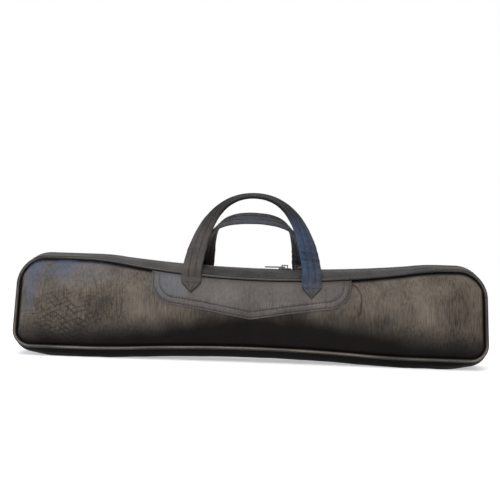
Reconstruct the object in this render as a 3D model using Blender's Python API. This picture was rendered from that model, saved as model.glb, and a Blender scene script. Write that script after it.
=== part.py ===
# Soft zipped carrying case for a tenor recorder, standing on its long bottom edge.
# Metres. +X runs along the case, the front faces -Y, +Z is up, and z = 0 is the floor.
import math

import bmesh
import bpy
from mathutils import Matrix, Vector

# Body of the case, measured between the pipings
case_length = 0.450
case_depth = 0.050
end_height = 0.086
top_corner = 0.0265
bottom_corner = 0.016

# The top edge dips to a waist, and the bottom edge rises a little
waist_dip = 0.0145
waist_reach = 0.180
waist_ease = 0.040
waist_shift = 0.015
base_rise = 0.0048
base_reach = 0.160
base_ease = 0.050

# How far the gusset swells past the pipings, and how wide its flat middle is
top_swell = 0.0085
shoulder_swell = 0.0044
bottom_swell = 0.010
end_swell = 0.003
top_flat = 0.0085
top_turn_in = 0.0195
bottom_flat = 0.013
bottom_turn_in = 0.0203
bottom_lining_half = 0.017
swell_power = 2.2
foot_flat_end = 0.186

# How far the panels belly out
panel_crown = 0.008
crown_run = 0.045
crown_power = 2.4

# Sheet thicknesses
skin_thickness = 0.0012
foam_thickness = 0.004
lining_thickness = 0.0008
yoke_thickness = 0.0010
piping_radius = 0.00175
seam_gap = 0.0003
padding_inset = 0.0025

# Yoke patch behind the handle feet
yoke_half_width = 0.0955
yoke_corner = 0.016
yoke_depth = 0.0265
yoke_point = 0.0125
yoke_slope_power = 0.85

# Handles, each one strap
strap_width = 0.019
strap_thickness = 0.0028
strap_edge = 0.0006
front_spacing = 0.115
back_spacing = 0.098
fold_height = 0.003
foot_length = 0.0085
foot_point = 0.0105
foot_thickness = 0.0020
foot_lip = 0.0008
foot_taper = 0.005
fold_offset = 0.0004
top_twist = math.radians(80)
twist_power = 2.2
front_arch = 0.0765
front_rise = 0.0425
front_draw = 0.0068
front_shoulder = 0.026
front_lean = math.radians(20)
back_arch = 0.0676
back_rise = 0.040
back_draw = 0.004
back_shoulder = 0.036
back_lean = math.radians(41)

# Zip
zip_slot_half = 0.0065
tape_thickness = 0.0006
tape_outer = 0.0145
tape_inner = 0.0022
tooth_pitch = 0.0057
tooth_base = 0.0036
tooth_root = 0.0022
tooth_tip = 0.0008
tooth_height = 0.0018
tooth_lift = 0.0006
slider_length = 0.012
slider_nose = 0.0096
slider_tail = 0.0072
slider_wall = 0.0011
slider_meet = 0.038
slider_space = 0.0010
bridge_height = 0.0032
bridge_half = 0.0032
bridge_width = 0.0018
bridge_wall = 0.0010
pull_length = 0.020
pull_width = 0.0062
pull_thickness = 0.0012
pull_eye = 0.0062
end_tab_length = 0.012
end_tab_width = 0.017
end_tab_thickness = 0.0010

# Sizes that follow from the ones above
half_length = case_length / 2
half_depth = case_depth / 2
base_level = bottom_swell
panel_inset = piping_radius + seam_gap
gusset_edge = half_depth - piping_radius - seam_gap
padding_edge = panel_inset + padding_inset
waist_arc = waist_reach - waist_ease
waist_radius = waist_arc * waist_reach / (2 * waist_dip)
waist_height = waist_radius - math.sqrt(waist_radius ** 2 - waist_arc ** 2)
zip_height = waist_height - top_swell + shoulder_swell
zip_radius = (waist_arc ** 2 + zip_height ** 2) / (2 * zip_height)
strap_base = half_depth + piping_radius + seam_gap
fold_depth = strap_base + strap_thickness / 2 + fold_offset

leather = ("leatherette", (0.018, 0.014, 0.012), 0.42, 0.0)
edge_leather = ("piping_leatherette", (0.024, 0.020, 0.018), 0.38, 0.0)
strap_leather = ("strap_leatherette", (0.020, 0.017, 0.016), 0.45, 0.0)
padding = ("foam", (0.20, 0.20, 0.21), 0.95, 0.0)
cloth = ("lining_cloth", (0.045, 0.045, 0.050), 0.90, 0.0)
woven = ("zip_tape", (0.020, 0.020, 0.022), 0.85, 0.0)
plastic = ("zip_teeth", (0.015, 0.015, 0.016), 0.40, 0.0)
metal = ("zip_metal", (0.62, 0.61, 0.60), 0.28, 1.0)


def clear_scene():
    for old in list(bpy.data.objects):
        bpy.data.objects.remove(old, do_unlink=True)


def new_collection(name):
    collection = bpy.data.collections.new(name)
    bpy.context.scene.collection.children.link(collection)
    return collection


def paint(obj, finish):
    label, colour, roughness, metallic = finish
    material = bpy.data.materials.get(label)
    if material is None:
        material = bpy.data.materials.new(label)
        material.use_nodes = True
        shader = material.node_tree.nodes["Principled BSDF"]
        shader.inputs["Base Color"].default_value = (*colour, 1.0)
        shader.inputs["Roughness"].default_value = roughness
        shader.inputs["Metallic"].default_value = metallic
    obj.data.materials.append(material)


def face_outwards(bm):
    bmesh.ops.recalc_face_normals(bm, faces=bm.faces)
    if bm.calc_volume(signed=True) < 0:
        bmesh.ops.reverse_faces(bm, faces=bm.faces)


def add_mesh(name, bm, finish, smooth_angle=35):
    face_outwards(bm)
    mesh = bpy.data.meshes.new(name)
    bm.to_mesh(mesh)
    bm.free()
    mesh.shade_smooth()
    mesh.set_sharp_from_angle(angle=math.radians(smooth_angle))
    obj = bpy.data.objects.new(name, mesh)
    parts.objects.link(obj)
    paint(obj, finish)
    return obj


# A sheet with thickness: a unit block of cells whose corners place() puts where they belong.
# u runs along the sheet, v across it, and w from its outer face (0) to its inner face (1).
def sheet(name, columns, rows, place, finish):
    bm = bmesh.new()
    middle = Matrix.Translation((0.5, 0.5, 0.0))
    bmesh.ops.create_grid(bm, x_segments=columns, y_segments=rows, size=0.5, matrix=middle)
    grown = bmesh.ops.extrude_face_region(bm, geom=bm.faces[:])
    raised = [item for item in grown["geom"] if isinstance(item, bmesh.types.BMVert)]
    bmesh.ops.translate(bm, verts=raised, vec=(0, 0, 1))
    for vert in bm.verts:
        u, v, w = vert.co
        vert.co = place(u, v, w)
    return add_mesh(name, bm, finish)


def prism(outline, low, high):
    bm = bmesh.new()
    face = bm.faces.new([bm.verts.new((x, y, low)) for x, y in outline])
    grown = bmesh.ops.extrude_face_region(bm, geom=[face])
    raised = [item for item in grown["geom"] if isinstance(item, bmesh.types.BMVert)]
    bmesh.ops.translate(bm, verts=raised, vec=(0, 0, high - low))
    face_outwards(bm)
    return bm


def smooth_step(t):
    t = min(max(t, 0.0), 1.0)
    return t * t * (3 - 2 * t)


# A shallow arc of the given depth that runs out level at `reach` from its middle.
# Returns how deep it is at distance u and how steeply it changes there.
def eased_arc(u, reach, ease, depth):
    run = reach - ease
    radius = run * reach / (2 * depth)
    edge_slope = run / math.sqrt(radius * radius - run * run)
    if u >= reach:
        return 0.0, 0.0
    if u > run:
        return edge_slope * (reach - u) ** 2 / (2 * ease), edge_slope * (u - reach) / ease
    full = edge_slope * ease / 2 + radius - math.sqrt(radius * radius - run * run)
    level = math.sqrt(radius * radius - u * u)
    return full - (radius - level), -u / level


def waist_at(x):
    offset = x - waist_shift
    depth, slope = eased_arc(abs(offset), waist_reach, waist_ease, waist_dip)
    return depth, math.copysign(1, offset) * slope


def rise_at(x):
    depth, slope = eased_arc(abs(x), base_reach, base_ease, base_rise)
    return depth, math.copysign(1, x) * slope


def top_level(x):
    return base_level + end_height - waist_at(x)[0]


# Height of the panel's upper and lower edge at x, for an outline drawn in by inset
def corner_drop(x, inset, corner):
    radius = corner - inset
    side = half_length - inset - abs(x)
    if side >= radius:
        return 0.0
    return radius - math.sqrt(max(radius * radius - (radius - side) ** 2, 0.0))


def upper_edge(x, inset):
    return top_level(x) - inset - corner_drop(x, inset, top_corner)


def lower_edge(x, inset):
    return base_level + rise_at(x)[0] + inset + corner_drop(x, inset, bottom_corner)


def panel_columns(inset, corner_steps, middle_steps):
    end = half_length - inset
    radius = top_corner - inset
    turn = [end - radius * (1 - math.cos(math.pi / 2 * k / corner_steps)) for k in range(corner_steps)]
    inner = end - radius
    middle = [-inner + 2 * inner * k / middle_steps for k in range(middle_steps + 1)]
    return [-x for x in turn] + middle + turn[::-1]


# How far the outer face of a panel stands off its edge plane
def crown_at(x, z):
    top = upper_edge(x, panel_inset)
    bottom = lower_edge(x, panel_inset)
    across = abs(2 * z - top - bottom) / (top - bottom)
    side = min((half_length - panel_inset - abs(x)) / crown_run, 1.0)
    along = 1 - (1 - max(side, 0.0)) ** 2
    return panel_crown * along * (1 - min(across, 1.0) ** crown_power)


# One layer of a panel: side is -1 for the front and 1 for the back
def panel_layer(name, side, inset, depth, thickness, counts, finish):
    corner_steps, middle_steps, rows = counts
    columns = panel_columns(inset, corner_steps, middle_steps)

    def place(u, v, w):
        x = columns[round(u * (len(columns) - 1))]
        low = lower_edge(x, inset)
        z = low + (upper_edge(x, inset) - low) * (1 - math.cos(math.pi * v)) / 2
        return Vector((x, side * (half_depth + crown_at(x, z) - depth - thickness * w), z))

    return sheet(name, len(columns) - 1, rows, place, finish)


# Lower edge of the yoke patch: a blunt point in the middle and rounded outer corners
def yoke_edge(x):
    straight = yoke_half_width - yoke_corner
    side_level = top_level(waist_shift) - yoke_depth
    reach = min(abs(x) / straight, 1.0)
    level = side_level - yoke_point * (1 - reach ** yoke_slope_power)
    beyond = min(max((abs(x) - straight) / yoke_corner, 0.0), 1.0)
    return level + yoke_corner * (1 - math.sqrt(1 - beyond * beyond))


yoke_columns = (-1.0, -0.985, -0.93, -0.83, -0.6, -0.4, -0.2, 0.0, 0.2, 0.4, 0.6, 0.83, 0.93, 0.985, 1.0)
yoke_rows = 7


def yoke(name, side):
    def place(u, v, w):
        x = yoke_half_width * yoke_columns[round(u * (len(yoke_columns) - 1))]
        high = upper_edge(x, panel_inset)
        z = high + (yoke_edge(x) - high) * v
        off = half_depth + crown_at(x, z) + seam_gap + yoke_thickness * (1 - w)
        return Vector((x, side * off, z))

    return sheet(name, len(yoke_columns) - 1, yoke_rows, place, leather)


# The rim is the line of the piping. Its upper run goes from the left zip end over the top to
# the right one, and its lower run goes along the bottom and round both bottom corners.
end_run = end_height - top_corner - bottom_corner
top_turn = math.pi / 2 * top_corner
bottom_turn = math.pi / 2 * bottom_corner
top_run = 2 * (half_length - top_corner)
bottom_run = 2 * (half_length - bottom_corner)
upper_length = 2 * end_run + 2 * top_turn + top_run
lower_length = 2 * bottom_turn + bottom_run


# Swell over the waist, where the zip follows a flatter arc than the piping does
def waist_swell(u):
    if u <= waist_arc:
        piping_climb = waist_radius - math.sqrt(waist_radius ** 2 - u * u)
        return top_swell - piping_climb + zip_radius - math.sqrt(zip_radius ** 2 - u * u)
    return end_swell + (shoulder_swell - end_swell) * smooth_step((waist_reach - u) / waist_ease)


# A point of the upper run at distance t from the left zip end: place, outward normal, swell
def upper_rim(t):
    if t > upper_length / 2:
        x, z, nx, nz, swell = upper_rim_left(upper_length - t, True)
        return -x, z, -nx, nz, swell
    return upper_rim_left(t, False)


def upper_rim_left(t, mirrored):
    if t < end_run:
        return -half_length, base_level + bottom_corner + t, -1.0, 0.0, end_swell
    if t < end_run + top_turn:
        angle = (t - end_run) / top_corner
        nx, nz = -math.cos(angle), math.sin(angle)
        x = -half_length + top_corner + top_corner * nx
        return x, base_level + end_height - top_corner + top_corner * nz, nx, nz, end_swell
    x = -half_length + top_corner + t - end_run - top_turn
    true_x = -x if mirrored else x
    depth, slope = waist_at(true_x)
    if mirrored:
        slope = -slope
    length = math.hypot(1.0, slope)
    swell = waist_swell(abs(true_x - waist_shift))
    return x, base_level + end_height - depth, slope / length, 1 / length, swell


# A point of the lower run at distance t from the left zip end
def lower_rim(t):
    if t > lower_length / 2:
        x, z, nx, nz, swell = lower_rim_left(lower_length - t)
        return -x, z, -nx, nz, swell
    return lower_rim_left(t)


def lower_rim_left(t):
    taper_end = bottom_turn + half_length - bottom_corner - foot_flat_end
    swell = end_swell + (bottom_swell - end_swell) * smooth_step(t / taper_end)
    if t < bottom_turn:
        angle = t / bottom_corner
        nx, nz = -math.cos(angle), -math.sin(angle)
        x = -half_length + bottom_corner + bottom_corner * nx
        return x, base_level + bottom_corner + bottom_corner * nz, nx, nz, swell
    x = -half_length + bottom_corner + t - bottom_turn
    depth, slope = rise_at(x)
    length = math.hypot(1.0, slope)
    return x, base_level + depth, slope / length, -1 / length, swell


def stations(breaks):
    marks = [breaks[0][0]]
    for start, stop, steps in breaks:
        marks += [start + (stop - start) * (k + 1) / steps for k in range(steps)]
    return marks


def upper_stations(end_steps, turn_steps, top_steps, trim):
    turn_start = end_run
    turn_stop = end_run + top_turn
    return stations([
        (trim, turn_start, end_steps),
        (turn_start, turn_stop, turn_steps),
        (turn_stop, upper_length - turn_stop, top_steps),
        (upper_length - turn_stop, upper_length - turn_start, turn_steps),
        (upper_length - turn_start, upper_length - trim, end_steps),
    ])


def lower_stations(turn_steps, foot_steps, middle_steps, trim):
    foot_start = bottom_turn + half_length - bottom_corner - foot_flat_end
    foot_stop = bottom_turn + half_length - bottom_corner - base_reach
    return stations([
        (trim, bottom_turn, turn_steps),
        (bottom_turn, foot_start, foot_steps),
        (foot_start, foot_stop, 1),
        (foot_stop, lower_length - foot_stop, middle_steps),
        (lower_length - foot_stop, lower_length - foot_start, 1),
        (lower_length - foot_start, lower_length - bottom_turn, foot_steps),
        (lower_length - bottom_turn, lower_length - trim, turn_steps),
    ])


# Share of the swell at depth y: all of it over the flat middle and none at the piping
def swell_share(y, flat):
    return 1 - max((abs(y) - flat) / (gusset_edge - flat), 0.0) ** swell_power


# A sheet swept along the rim. across holds its places in y, and depth is how far its outer
# face lies inside the gusset's.
def rim_sheet(name, rim, marks, across, flat, depth, thickness, finish):
    def place(u, v, w):
        x, z, nx, nz, swell = rim(marks[round(u * (len(marks) - 1))])
        y = across[round(v * (len(across) - 1))]
        off = swell * swell_share(y, flat) - depth - thickness * w
        return Vector((x + nx * off, y, z + nz * off))

    return sheet(name, len(marks) - 1, len(across) - 1, place, finish)


def piping(name, side):
    upper = upper_stations(1, 5, 22, 0.0)
    lower = lower_stations(4, 1, 12, 0.0)
    points = [upper_rim(t)[:2] for t in upper] + [lower_rim(t)[:2] for t in lower[-2:0:-1]]
    curve = bpy.data.curves.new(name, "CURVE")
    curve.dimensions = "3D"
    curve.bevel_depth = piping_radius
    curve.bevel_resolution = 1
    spline = curve.splines.new("POLY")
    spline.points.add(len(points) - 1)
    for point, (x, z) in zip(spline.points, points):
        point.co = (x, side * half_depth, z, 1.0)
    spline.use_cyclic_u = True
    obj = bpy.data.objects.new(name, curve)
    parts.objects.link(obj)
    paint(obj, edge_leather)
    return obj


# Half of a zip chain: teeth in one strip, pointed at the other half and half a pitch apart
def zip_teeth(name, side):
    count = round((upper_length - 2 * seam_gap) / tooth_pitch)
    half_teeth = 2 * count
    first = 0 if side < 0 else 1

    def place(u, v, w):
        step = round(u * half_teeth)
        t = seam_gap + (upper_length - 2 * seam_gap) * step / half_teeth
        x, z, nx, nz, swell = upper_rim(t)
        tip = tooth_tip if (step + first) % 2 else tooth_root
        y = side * (tooth_base if v < 0.5 else tip)
        off = swell + tooth_lift - tooth_height * w
        return Vector((x + nx * off, y, z + nz * off))

    return sheet(name, half_teeth, 1, place, plastic)


# Both feet of a handle fold on one level line, set by the foot where the case is higher
fold_level = max(top_level(-front_spacing / 2), top_level(front_spacing / 2)) + fold_height


# Sewn foot of a handle: a strap end that follows the yoke, runs over the piping and ends in a point.
# It thins towards the fold, so that the strap can hang down in front of it.
foot_columns = 4
foot_rows = 6


def handle_foot(name, side, centre):
    high = fold_level - strap_thickness / 2 - seam_gap
    stitch = top_level(centre) - foot_length

    def place(u, v, w):
        across = 2 * u - 1
        x = centre + across * strap_width / 2
        z = high + (stitch - foot_point * (1 - abs(across)) - high) * v
        on_yoke = half_depth + crown_at(x, min(z, upper_edge(x, panel_inset))) + yoke_thickness + 2 * seam_gap
        thickness = foot_lip + (foot_thickness - foot_lip) * min((high - z) / foot_taper, 1.0)
        off = max(on_yoke, strap_base) + thickness * (1 - w)
        return Vector((x, side * off, z))

    return sheet(name, foot_columns, foot_rows, place, strap_leather)


def bezier(points, t):
    a, b, c, d = points
    s = 1 - t
    place = a * s ** 3 + b * 3 * s * s * t + c * 3 * s * t * t + d * t ** 3
    slope = (b - a) * s * s + (c - b) * 2 * s * t + (d - c) * t * t
    return place, slope.normalized()


# Handle strap in its own plane: x across, z up from the fold, the outer face towards side.
# The strap turns as it climbs, so that it lies flat in the hand at the top.
half_steps = 13
fold_steps = 4


def strap_sections(side, spacing, arch, rise, draw, shoulder):
    foot = spacing / 2
    half = [Vector((-foot, 0)), Vector((draw - foot, rise)), Vector((-shoulder, arch)), Vector((0, arch))]
    sections = []
    for k in range(2 * half_steps + 1):
        t = min(k, 2 * half_steps - k) / half_steps
        place, along = bezier(half, t)
        out = Vector((-along.y, along.x))
        if k > half_steps:
            place.x, out.x = -place.x, -out.x
            along = Vector((along.x, -along.y))
        twist = top_twist * (1 - (1 - t) ** twist_power)
        face = Vector((out.x * math.sin(twist), side * math.cos(twist), out.y * math.sin(twist)))
        wide = Vector((along.x, 0, along.y)).cross(face)
        level = Vector((math.copysign(1, wide.x), 0, 0))
        square = smooth_step(min(k, 2 * half_steps - k) / fold_steps)
        wide = level.lerp(wide, square).normalized()
        sections.append((Vector((place.x, 0, place.y)), wide, face))
    return sections


def strap_ring(bm, centre, wide, face, thickness):
    w, t = strap_width / 2, thickness / 2
    cut = min(strap_edge, t * 0.6)
    corners = [(w, t - cut), (w - cut, t), (cut - w, t), (-w, t - cut)]
    corners += [(-a, -b) for a, b in corners]
    return [bm.verts.new(centre + wide * a + face * b) for a, b in corners]


def handle(name, side, spacing, arch, rise, draw, shoulder, lean):
    bm = bmesh.new()
    sections = strap_sections(side, spacing, arch, rise, draw, shoulder)
    first, last = sections[0], sections[-1]
    rounding = [math.radians(a) for a in (75, 40)]

    def rounded(section, angle):
        centre, wide, face = section
        shift = Vector((0, 0, -strap_thickness / 2 * math.sin(angle)))
        return centre + shift, wide, face, strap_thickness * math.cos(angle)

    stack = [rounded(first, a) for a in rounding]
    stack += [(*section, strap_thickness) for section in sections]
    stack += [rounded(last, a) for a in rounding[::-1]]
    rings = [strap_ring(bm, *section) for section in stack]
    for one, two in zip(rings, rings[1:]):
        for k in range(len(one)):
            j = (k + 1) % len(one)
            bm.faces.new((one[k], one[j], two[j], two[k]))
    bm.faces.new(rings[0][::-1])
    bm.faces.new(rings[-1])
    obj = add_mesh(name, bm, strap_leather)
    obj.location = (0, side * fold_depth, fold_level)
    obj.rotation_euler.x = side * lean
    return obj


# Zip sliders run on the arc of the waist, so they hang from an empty at its centre
zip_centre_level = top_level(waist_shift) + top_swell + zip_radius
slider_top = tooth_lift + seam_gap + slider_wall
slider_bottom = -skin_thickness - 2 * seam_gap - tape_thickness - slider_wall
slider_half = slider_length / 2
meet_space = slider_half + slider_space / 2


def add_cutter(name, bm):
    mesh = bpy.data.meshes.new(name)
    bm.to_mesh(mesh)
    bm.free()
    obj = bpy.data.objects.new(name, mesh)
    obj.hide_render = True
    obj.display_type = "WIRE"
    cutters.objects.link(obj)
    return obj


def join_to(body, piece):
    union = body.modifiers.new(piece.name, "BOOLEAN")
    union.operation = "UNION"
    union.solver = "EXACT"
    union.object = piece


def plate_outline(nose, tail):
    shoulder = slider_length * 0.15
    return [
        (slider_half, nose * 0.30), (slider_half - shoulder, nose / 2), (0, nose * 0.46),
        (-slider_half, tail / 2), (-slider_half, -tail / 2), (0, -nose * 0.46),
        (slider_half - shoulder, -nose / 2), (slider_half, -nose * 0.30),
    ]


# Built with its nose towards +X, at the origin of the slider, whose z = 0 is the gusset's face
def slider_shell(name):
    outline = plate_outline(slider_nose, slider_tail)
    plate = prism(outline, slider_top - slider_wall, slider_top)
    body = add_mesh(name, plate, metal)
    under = prism(outline, slider_bottom, slider_bottom + slider_wall)
    post_half = tooth_tip - seam_gap
    post = [(slider_half * 0.75, 0), (slider_half * 0.35, post_half), (0, 0), (slider_half * 0.35, -post_half)]
    wedge = prism(post, slider_bottom + slider_wall / 2, slider_top - slider_wall / 2)
    lift, wall = bridge_height, bridge_wall
    arch = [
        (-bridge_half, -wall / 2), (-bridge_half, lift), (bridge_half, lift), (bridge_half, -wall / 2),
        (bridge_half - wall, -wall / 2), (bridge_half - wall, lift - wall),
        (wall - bridge_half, lift - wall), (wall - bridge_half, -wall / 2),
    ]
    bridge = prism(arch, -bridge_width / 2, bridge_width / 2)
    upright = Matrix.Translation((0, 0, slider_top)) @ Matrix.Rotation(math.pi / 2, 4, "X")
    bmesh.ops.transform(bridge, matrix=upright, verts=bridge.verts)
    return body, (("under", under), ("wedge", wedge), ("bridge", bridge))


def zip_slider(name, direction, centre):
    body, pieces = slider_shell(name)
    at = slider_meet + direction * meet_space
    angle = math.asin((at - waist_shift) / zip_radius)
    nose = -direction
    place = (
        Matrix.Rotation(-angle, 4, "Y") @ Matrix.Translation((0, 0, -zip_radius))
        @ Matrix.Rotation(math.pi if nose < 0 else 0.0, 4, "Z")
    )
    body.parent = centre
    body.matrix_local = place
    for label, bm in pieces:
        piece = add_cutter(name + "_" + label, bm)
        piece.parent = centre
        piece.matrix_local = place
        join_to(body, piece)
    return body


# Flat tab with an eye: it hangs on the slider's bridge by the bar at its pivot
def zip_pull(name, slider):
    w, bar = pull_width / 2, pull_thickness
    tip = pull_length - bar / 2
    outline = [(bar / 2, -w * 0.8), (bar / 2, w * 0.8), (-pull_eye, w), (-tip + w * 0.5, w * 0.8)]
    outline += [(-tip, w * 0.35), (-tip, -w * 0.35), (-tip + w * 0.5, -w * 0.8), (-pull_eye, -w)]
    tab = prism(outline, -pull_thickness / 2, pull_thickness / 2)
    body = add_mesh(name, tab, metal)
    eye_half = bridge_width / 2 + 2 * seam_gap
    eye = [(-bar / 2, -eye_half), (-bar / 2, eye_half), (-pull_eye + bar, eye_half), (-pull_eye + bar, -eye_half)]
    hole = add_cutter(name + "_eye", prism(eye, -pull_thickness, pull_thickness))
    lift = Matrix.Translation((0, 0, slider_top + seam_gap + pull_thickness / 2))
    for obj in (body, hole):
        obj.parent = slider
        obj.matrix_local = lift
    cut = body.modifiers.new("eye", "BOOLEAN")
    cut.operation = "DIFFERENCE"
    cut.solver = "EXACT"
    cut.object = hole
    return body


# Leather tab over the lower end of the zip, half on the bottom gusset
def zip_end_tab(name, direction):
    marks = (-end_tab_length / 2, 0.0, end_tab_length / 2)

    def place(u, v, w):
        t = marks[round(u * 2)]
        if t >= 0:
            x, z, nx, nz, swell = upper_rim(t)
        else:
            x, z, nx, nz, swell = lower_rim(-t)
        y = (v - 0.5) * end_tab_width
        off = end_swell + tooth_lift + seam_gap + end_tab_thickness * (1 - w)
        return Vector((-direction * (x + nx * off), y, z + nz * off))

    return sheet(name, 2, 2, place, leather)


clear_scene()
parts = new_collection("recorder_case")
cutters = new_collection("cutters")

skin_counts = (4, 12, 10)
padding_counts = (3, 8, 6)
foam_depth = skin_thickness + seam_gap
lining_depth = foam_depth + foam_thickness + seam_gap
gusset_places = (gusset_edge, top_turn_in, tape_outer, top_flat, zip_slot_half)
tape_places = (tape_outer, top_flat, tape_inner)
tape_depth = skin_thickness + seam_gap
upper_marks = upper_stations(2, 5, 26, seam_gap)

for label, side, spacing in (("front", -1, front_spacing), ("back", 1, back_spacing)):
    panel_layer(label + "_panel", side, panel_inset, 0.0, skin_thickness, skin_counts, leather)
    panel_layer(label + "_foam", side, padding_edge, foam_depth, foam_thickness, padding_counts, padding)
    panel_layer(label + "_lining", side, padding_edge, lining_depth, lining_thickness, padding_counts, cloth)
    yoke(label + "_yoke", side)
    piping(label + "_piping", side)
    gusset_across = [side * y for y in gusset_places]
    rim_sheet(label + "_zip_gusset", upper_rim, upper_marks, gusset_across, top_flat, 0.0,
              skin_thickness, leather)
    tape_across = [side * y for y in tape_places]
    rim_sheet(label + "_zip_tape", upper_rim, upper_marks, tape_across, top_flat, tape_depth,
              tape_thickness, woven)
    zip_teeth(label + "_zip_teeth", side)
    handle_foot(label + "_foot_left", side, -spacing / 2)
    handle_foot(label + "_foot_right", side, spacing / 2)

handle("front_handle", -1, front_spacing, front_arch, front_rise, front_draw, front_shoulder, front_lean)
handle("back_handle", 1, back_spacing, back_arch, back_rise, back_draw, back_shoulder, back_lean)

bottom_places = (gusset_edge, bottom_turn_in, bottom_lining_half, bottom_flat)
bottom_across = list(bottom_places) + [0.0] + [-y for y in bottom_places[::-1]]
rim_sheet("bottom_gusset", lower_rim, lower_stations(4, 2, 12, seam_gap), bottom_across,
          bottom_flat, 0.0, skin_thickness, leather)
lining_across = bottom_across[2:-2]
rim_sheet("bottom_lining", lower_rim, lower_stations(4, 2, 12, seam_gap), lining_across,
          bottom_flat, skin_thickness + seam_gap, lining_thickness, cloth)

zip_centre = bpy.data.objects.new("zip_arc_centre", None)
zip_centre.location = (waist_shift, 0, zip_centre_level)
parts.objects.link(zip_centre)
for label, direction in (("left", -1), ("right", 1)):
    slider = zip_slider("zip_slider_" + label, direction, zip_centre)
    zip_pull("zip_pull_" + label, slider)
    zip_end_tab("zip_end_tab_" + label, direction)
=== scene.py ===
import math

import bpy
import numpy as np
from mathutils import Matrix, Vector


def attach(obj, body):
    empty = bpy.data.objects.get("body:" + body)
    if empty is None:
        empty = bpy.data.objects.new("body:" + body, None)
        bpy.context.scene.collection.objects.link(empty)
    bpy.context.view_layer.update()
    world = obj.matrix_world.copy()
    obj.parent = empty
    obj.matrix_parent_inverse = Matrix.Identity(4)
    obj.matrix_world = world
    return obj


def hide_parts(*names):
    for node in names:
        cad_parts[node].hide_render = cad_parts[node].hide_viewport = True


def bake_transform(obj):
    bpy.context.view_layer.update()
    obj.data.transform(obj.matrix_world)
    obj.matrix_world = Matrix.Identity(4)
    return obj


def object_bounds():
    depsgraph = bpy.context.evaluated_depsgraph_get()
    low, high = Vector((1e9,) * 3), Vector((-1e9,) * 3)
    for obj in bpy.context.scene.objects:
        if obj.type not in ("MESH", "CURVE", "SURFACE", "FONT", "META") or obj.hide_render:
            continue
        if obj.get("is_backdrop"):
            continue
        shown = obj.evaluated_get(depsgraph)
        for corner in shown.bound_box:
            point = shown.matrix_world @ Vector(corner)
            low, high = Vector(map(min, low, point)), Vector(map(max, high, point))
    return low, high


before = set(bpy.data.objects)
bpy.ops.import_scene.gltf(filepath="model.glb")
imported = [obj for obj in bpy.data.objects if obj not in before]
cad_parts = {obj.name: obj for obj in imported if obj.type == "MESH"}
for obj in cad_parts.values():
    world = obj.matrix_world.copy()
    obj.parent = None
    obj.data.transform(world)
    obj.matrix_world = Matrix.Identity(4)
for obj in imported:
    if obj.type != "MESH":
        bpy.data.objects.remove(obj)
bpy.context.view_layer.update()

# Zipped leatherette case on its long bottom edge. Metres; the front faces -Y.

case = {
    "halfLength": 0.225, "halfDepth": 0.025, "base": 0.010, "endHeight": 0.086,
    "topCorner": 0.0265, "bottomCorner": 0.016, "seam": 0.0003,
    "waistDip": 0.0145, "waistReach": 0.180, "waistEase": 0.040, "waistShift": 0.015,
    "baseRise": 0.0048, "baseReach": 0.160, "baseEase": 0.050,
    "topSwell": 0.0085, "shoulderSwell": 0.0044, "bottomSwell": 0.010, "endSwell": 0.003,
    "topFlat": 0.0085, "bottomFlat": 0.013, "swellPower": 2.2, "footEnd": 0.186,
    "crown": 0.008, "crownRun": 0.045, "crownPower": 2.4,
    "pipe": 0.00175, "skin": 0.0012, "foam": 0.004, "lining": 0.0008,
}
halves = (("front", -1), ("back", 1))
panelInset = case["pipe"] + case["seam"]
gussetEdge = case["halfDepth"] - panelInset
endRun = case["endHeight"] - case["topCorner"] - case["bottomCorner"]
topTurn = math.pi / 2 * case["topCorner"]
bottomTurn = math.pi / 2 * case["bottomCorner"]
upperLength = 2 * (endRun + topTurn + case["halfLength"] - case["topCorner"])
lowerLength = 2 * (bottomTurn + case["halfLength"] - case["bottomCorner"])
waistArc = case["waistReach"] - case["waistEase"]
waistRadius = waistArc * case["waistReach"] / (2 * case["waistDip"])
waistHeight = waistRadius - math.sqrt(waistRadius ** 2 - waistArc ** 2)
zipHeight = waistHeight - case["topSwell"] + case["shoulderSwell"]
zipRadius = (waistArc ** 2 + zipHeight ** 2) / (2 * zipHeight)


def smoothStep(t):
    t = np.clip(t, 0.0, 1.0)
    return t * t * (3 - 2 * t)


# A soft hump, 1 high where a is 0
def bell(a, width, power=2):
    return np.exp(-(a / width) ** power)


def placed(x, y, z):
    return np.stack([x, y, z], -1)


def unit(vectors):
    return vectors / np.linalg.norm(vectors, axis=-1, keepdims=True)


# A sum of waves with fixed seeds, for soft unevenness
def ripples(a, b, seed, waves, lengths, lean=0.0, spread=math.pi):
    rng = np.random.default_rng(seed)
    total = np.zeros_like(a)
    for _ in range(waves):
        turn = lean + rng.uniform(-spread, spread)
        pitch = 2 * math.pi / rng.uniform(*lengths)
        total += np.sin(pitch * (a * math.cos(turn) + b * math.sin(turn)) + rng.uniform(0, 6.3))
    return total / math.sqrt(waves)


# An arc over the middle that eases out to level at its reach: height and slope
def easedArc(u, reach, ease, depth):
    run = reach - ease
    radius = run * reach / (2 * depth)
    drop = math.sqrt(radius * radius - run * run)
    slope = run / drop
    level = np.sqrt(radius * radius - np.minimum(u, run) ** 2)
    inner = slope * ease / 2 + level - drop
    outer = slope * (reach - u) ** 2 / (2 * ease)
    value = np.where(u >= reach, 0.0, np.where(u > run, outer, inner))
    change = np.where(u > run, slope * (u - reach) / ease, -u / level)
    return value, np.where(u >= reach, 0.0, change)


def waistAt(x):
    offset = x - case["waistShift"]
    depth, slope = easedArc(np.abs(offset), case["waistReach"], case["waistEase"], case["waistDip"])
    return depth, np.copysign(1, offset) * slope


def riseAt(x):
    depth, slope = easedArc(np.abs(x), case["baseReach"], case["baseEase"], case["baseRise"])
    return depth, np.copysign(1, x) * slope


def topLevel(x):
    return case["base"] + case["endHeight"] - waistAt(x)[0]


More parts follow.
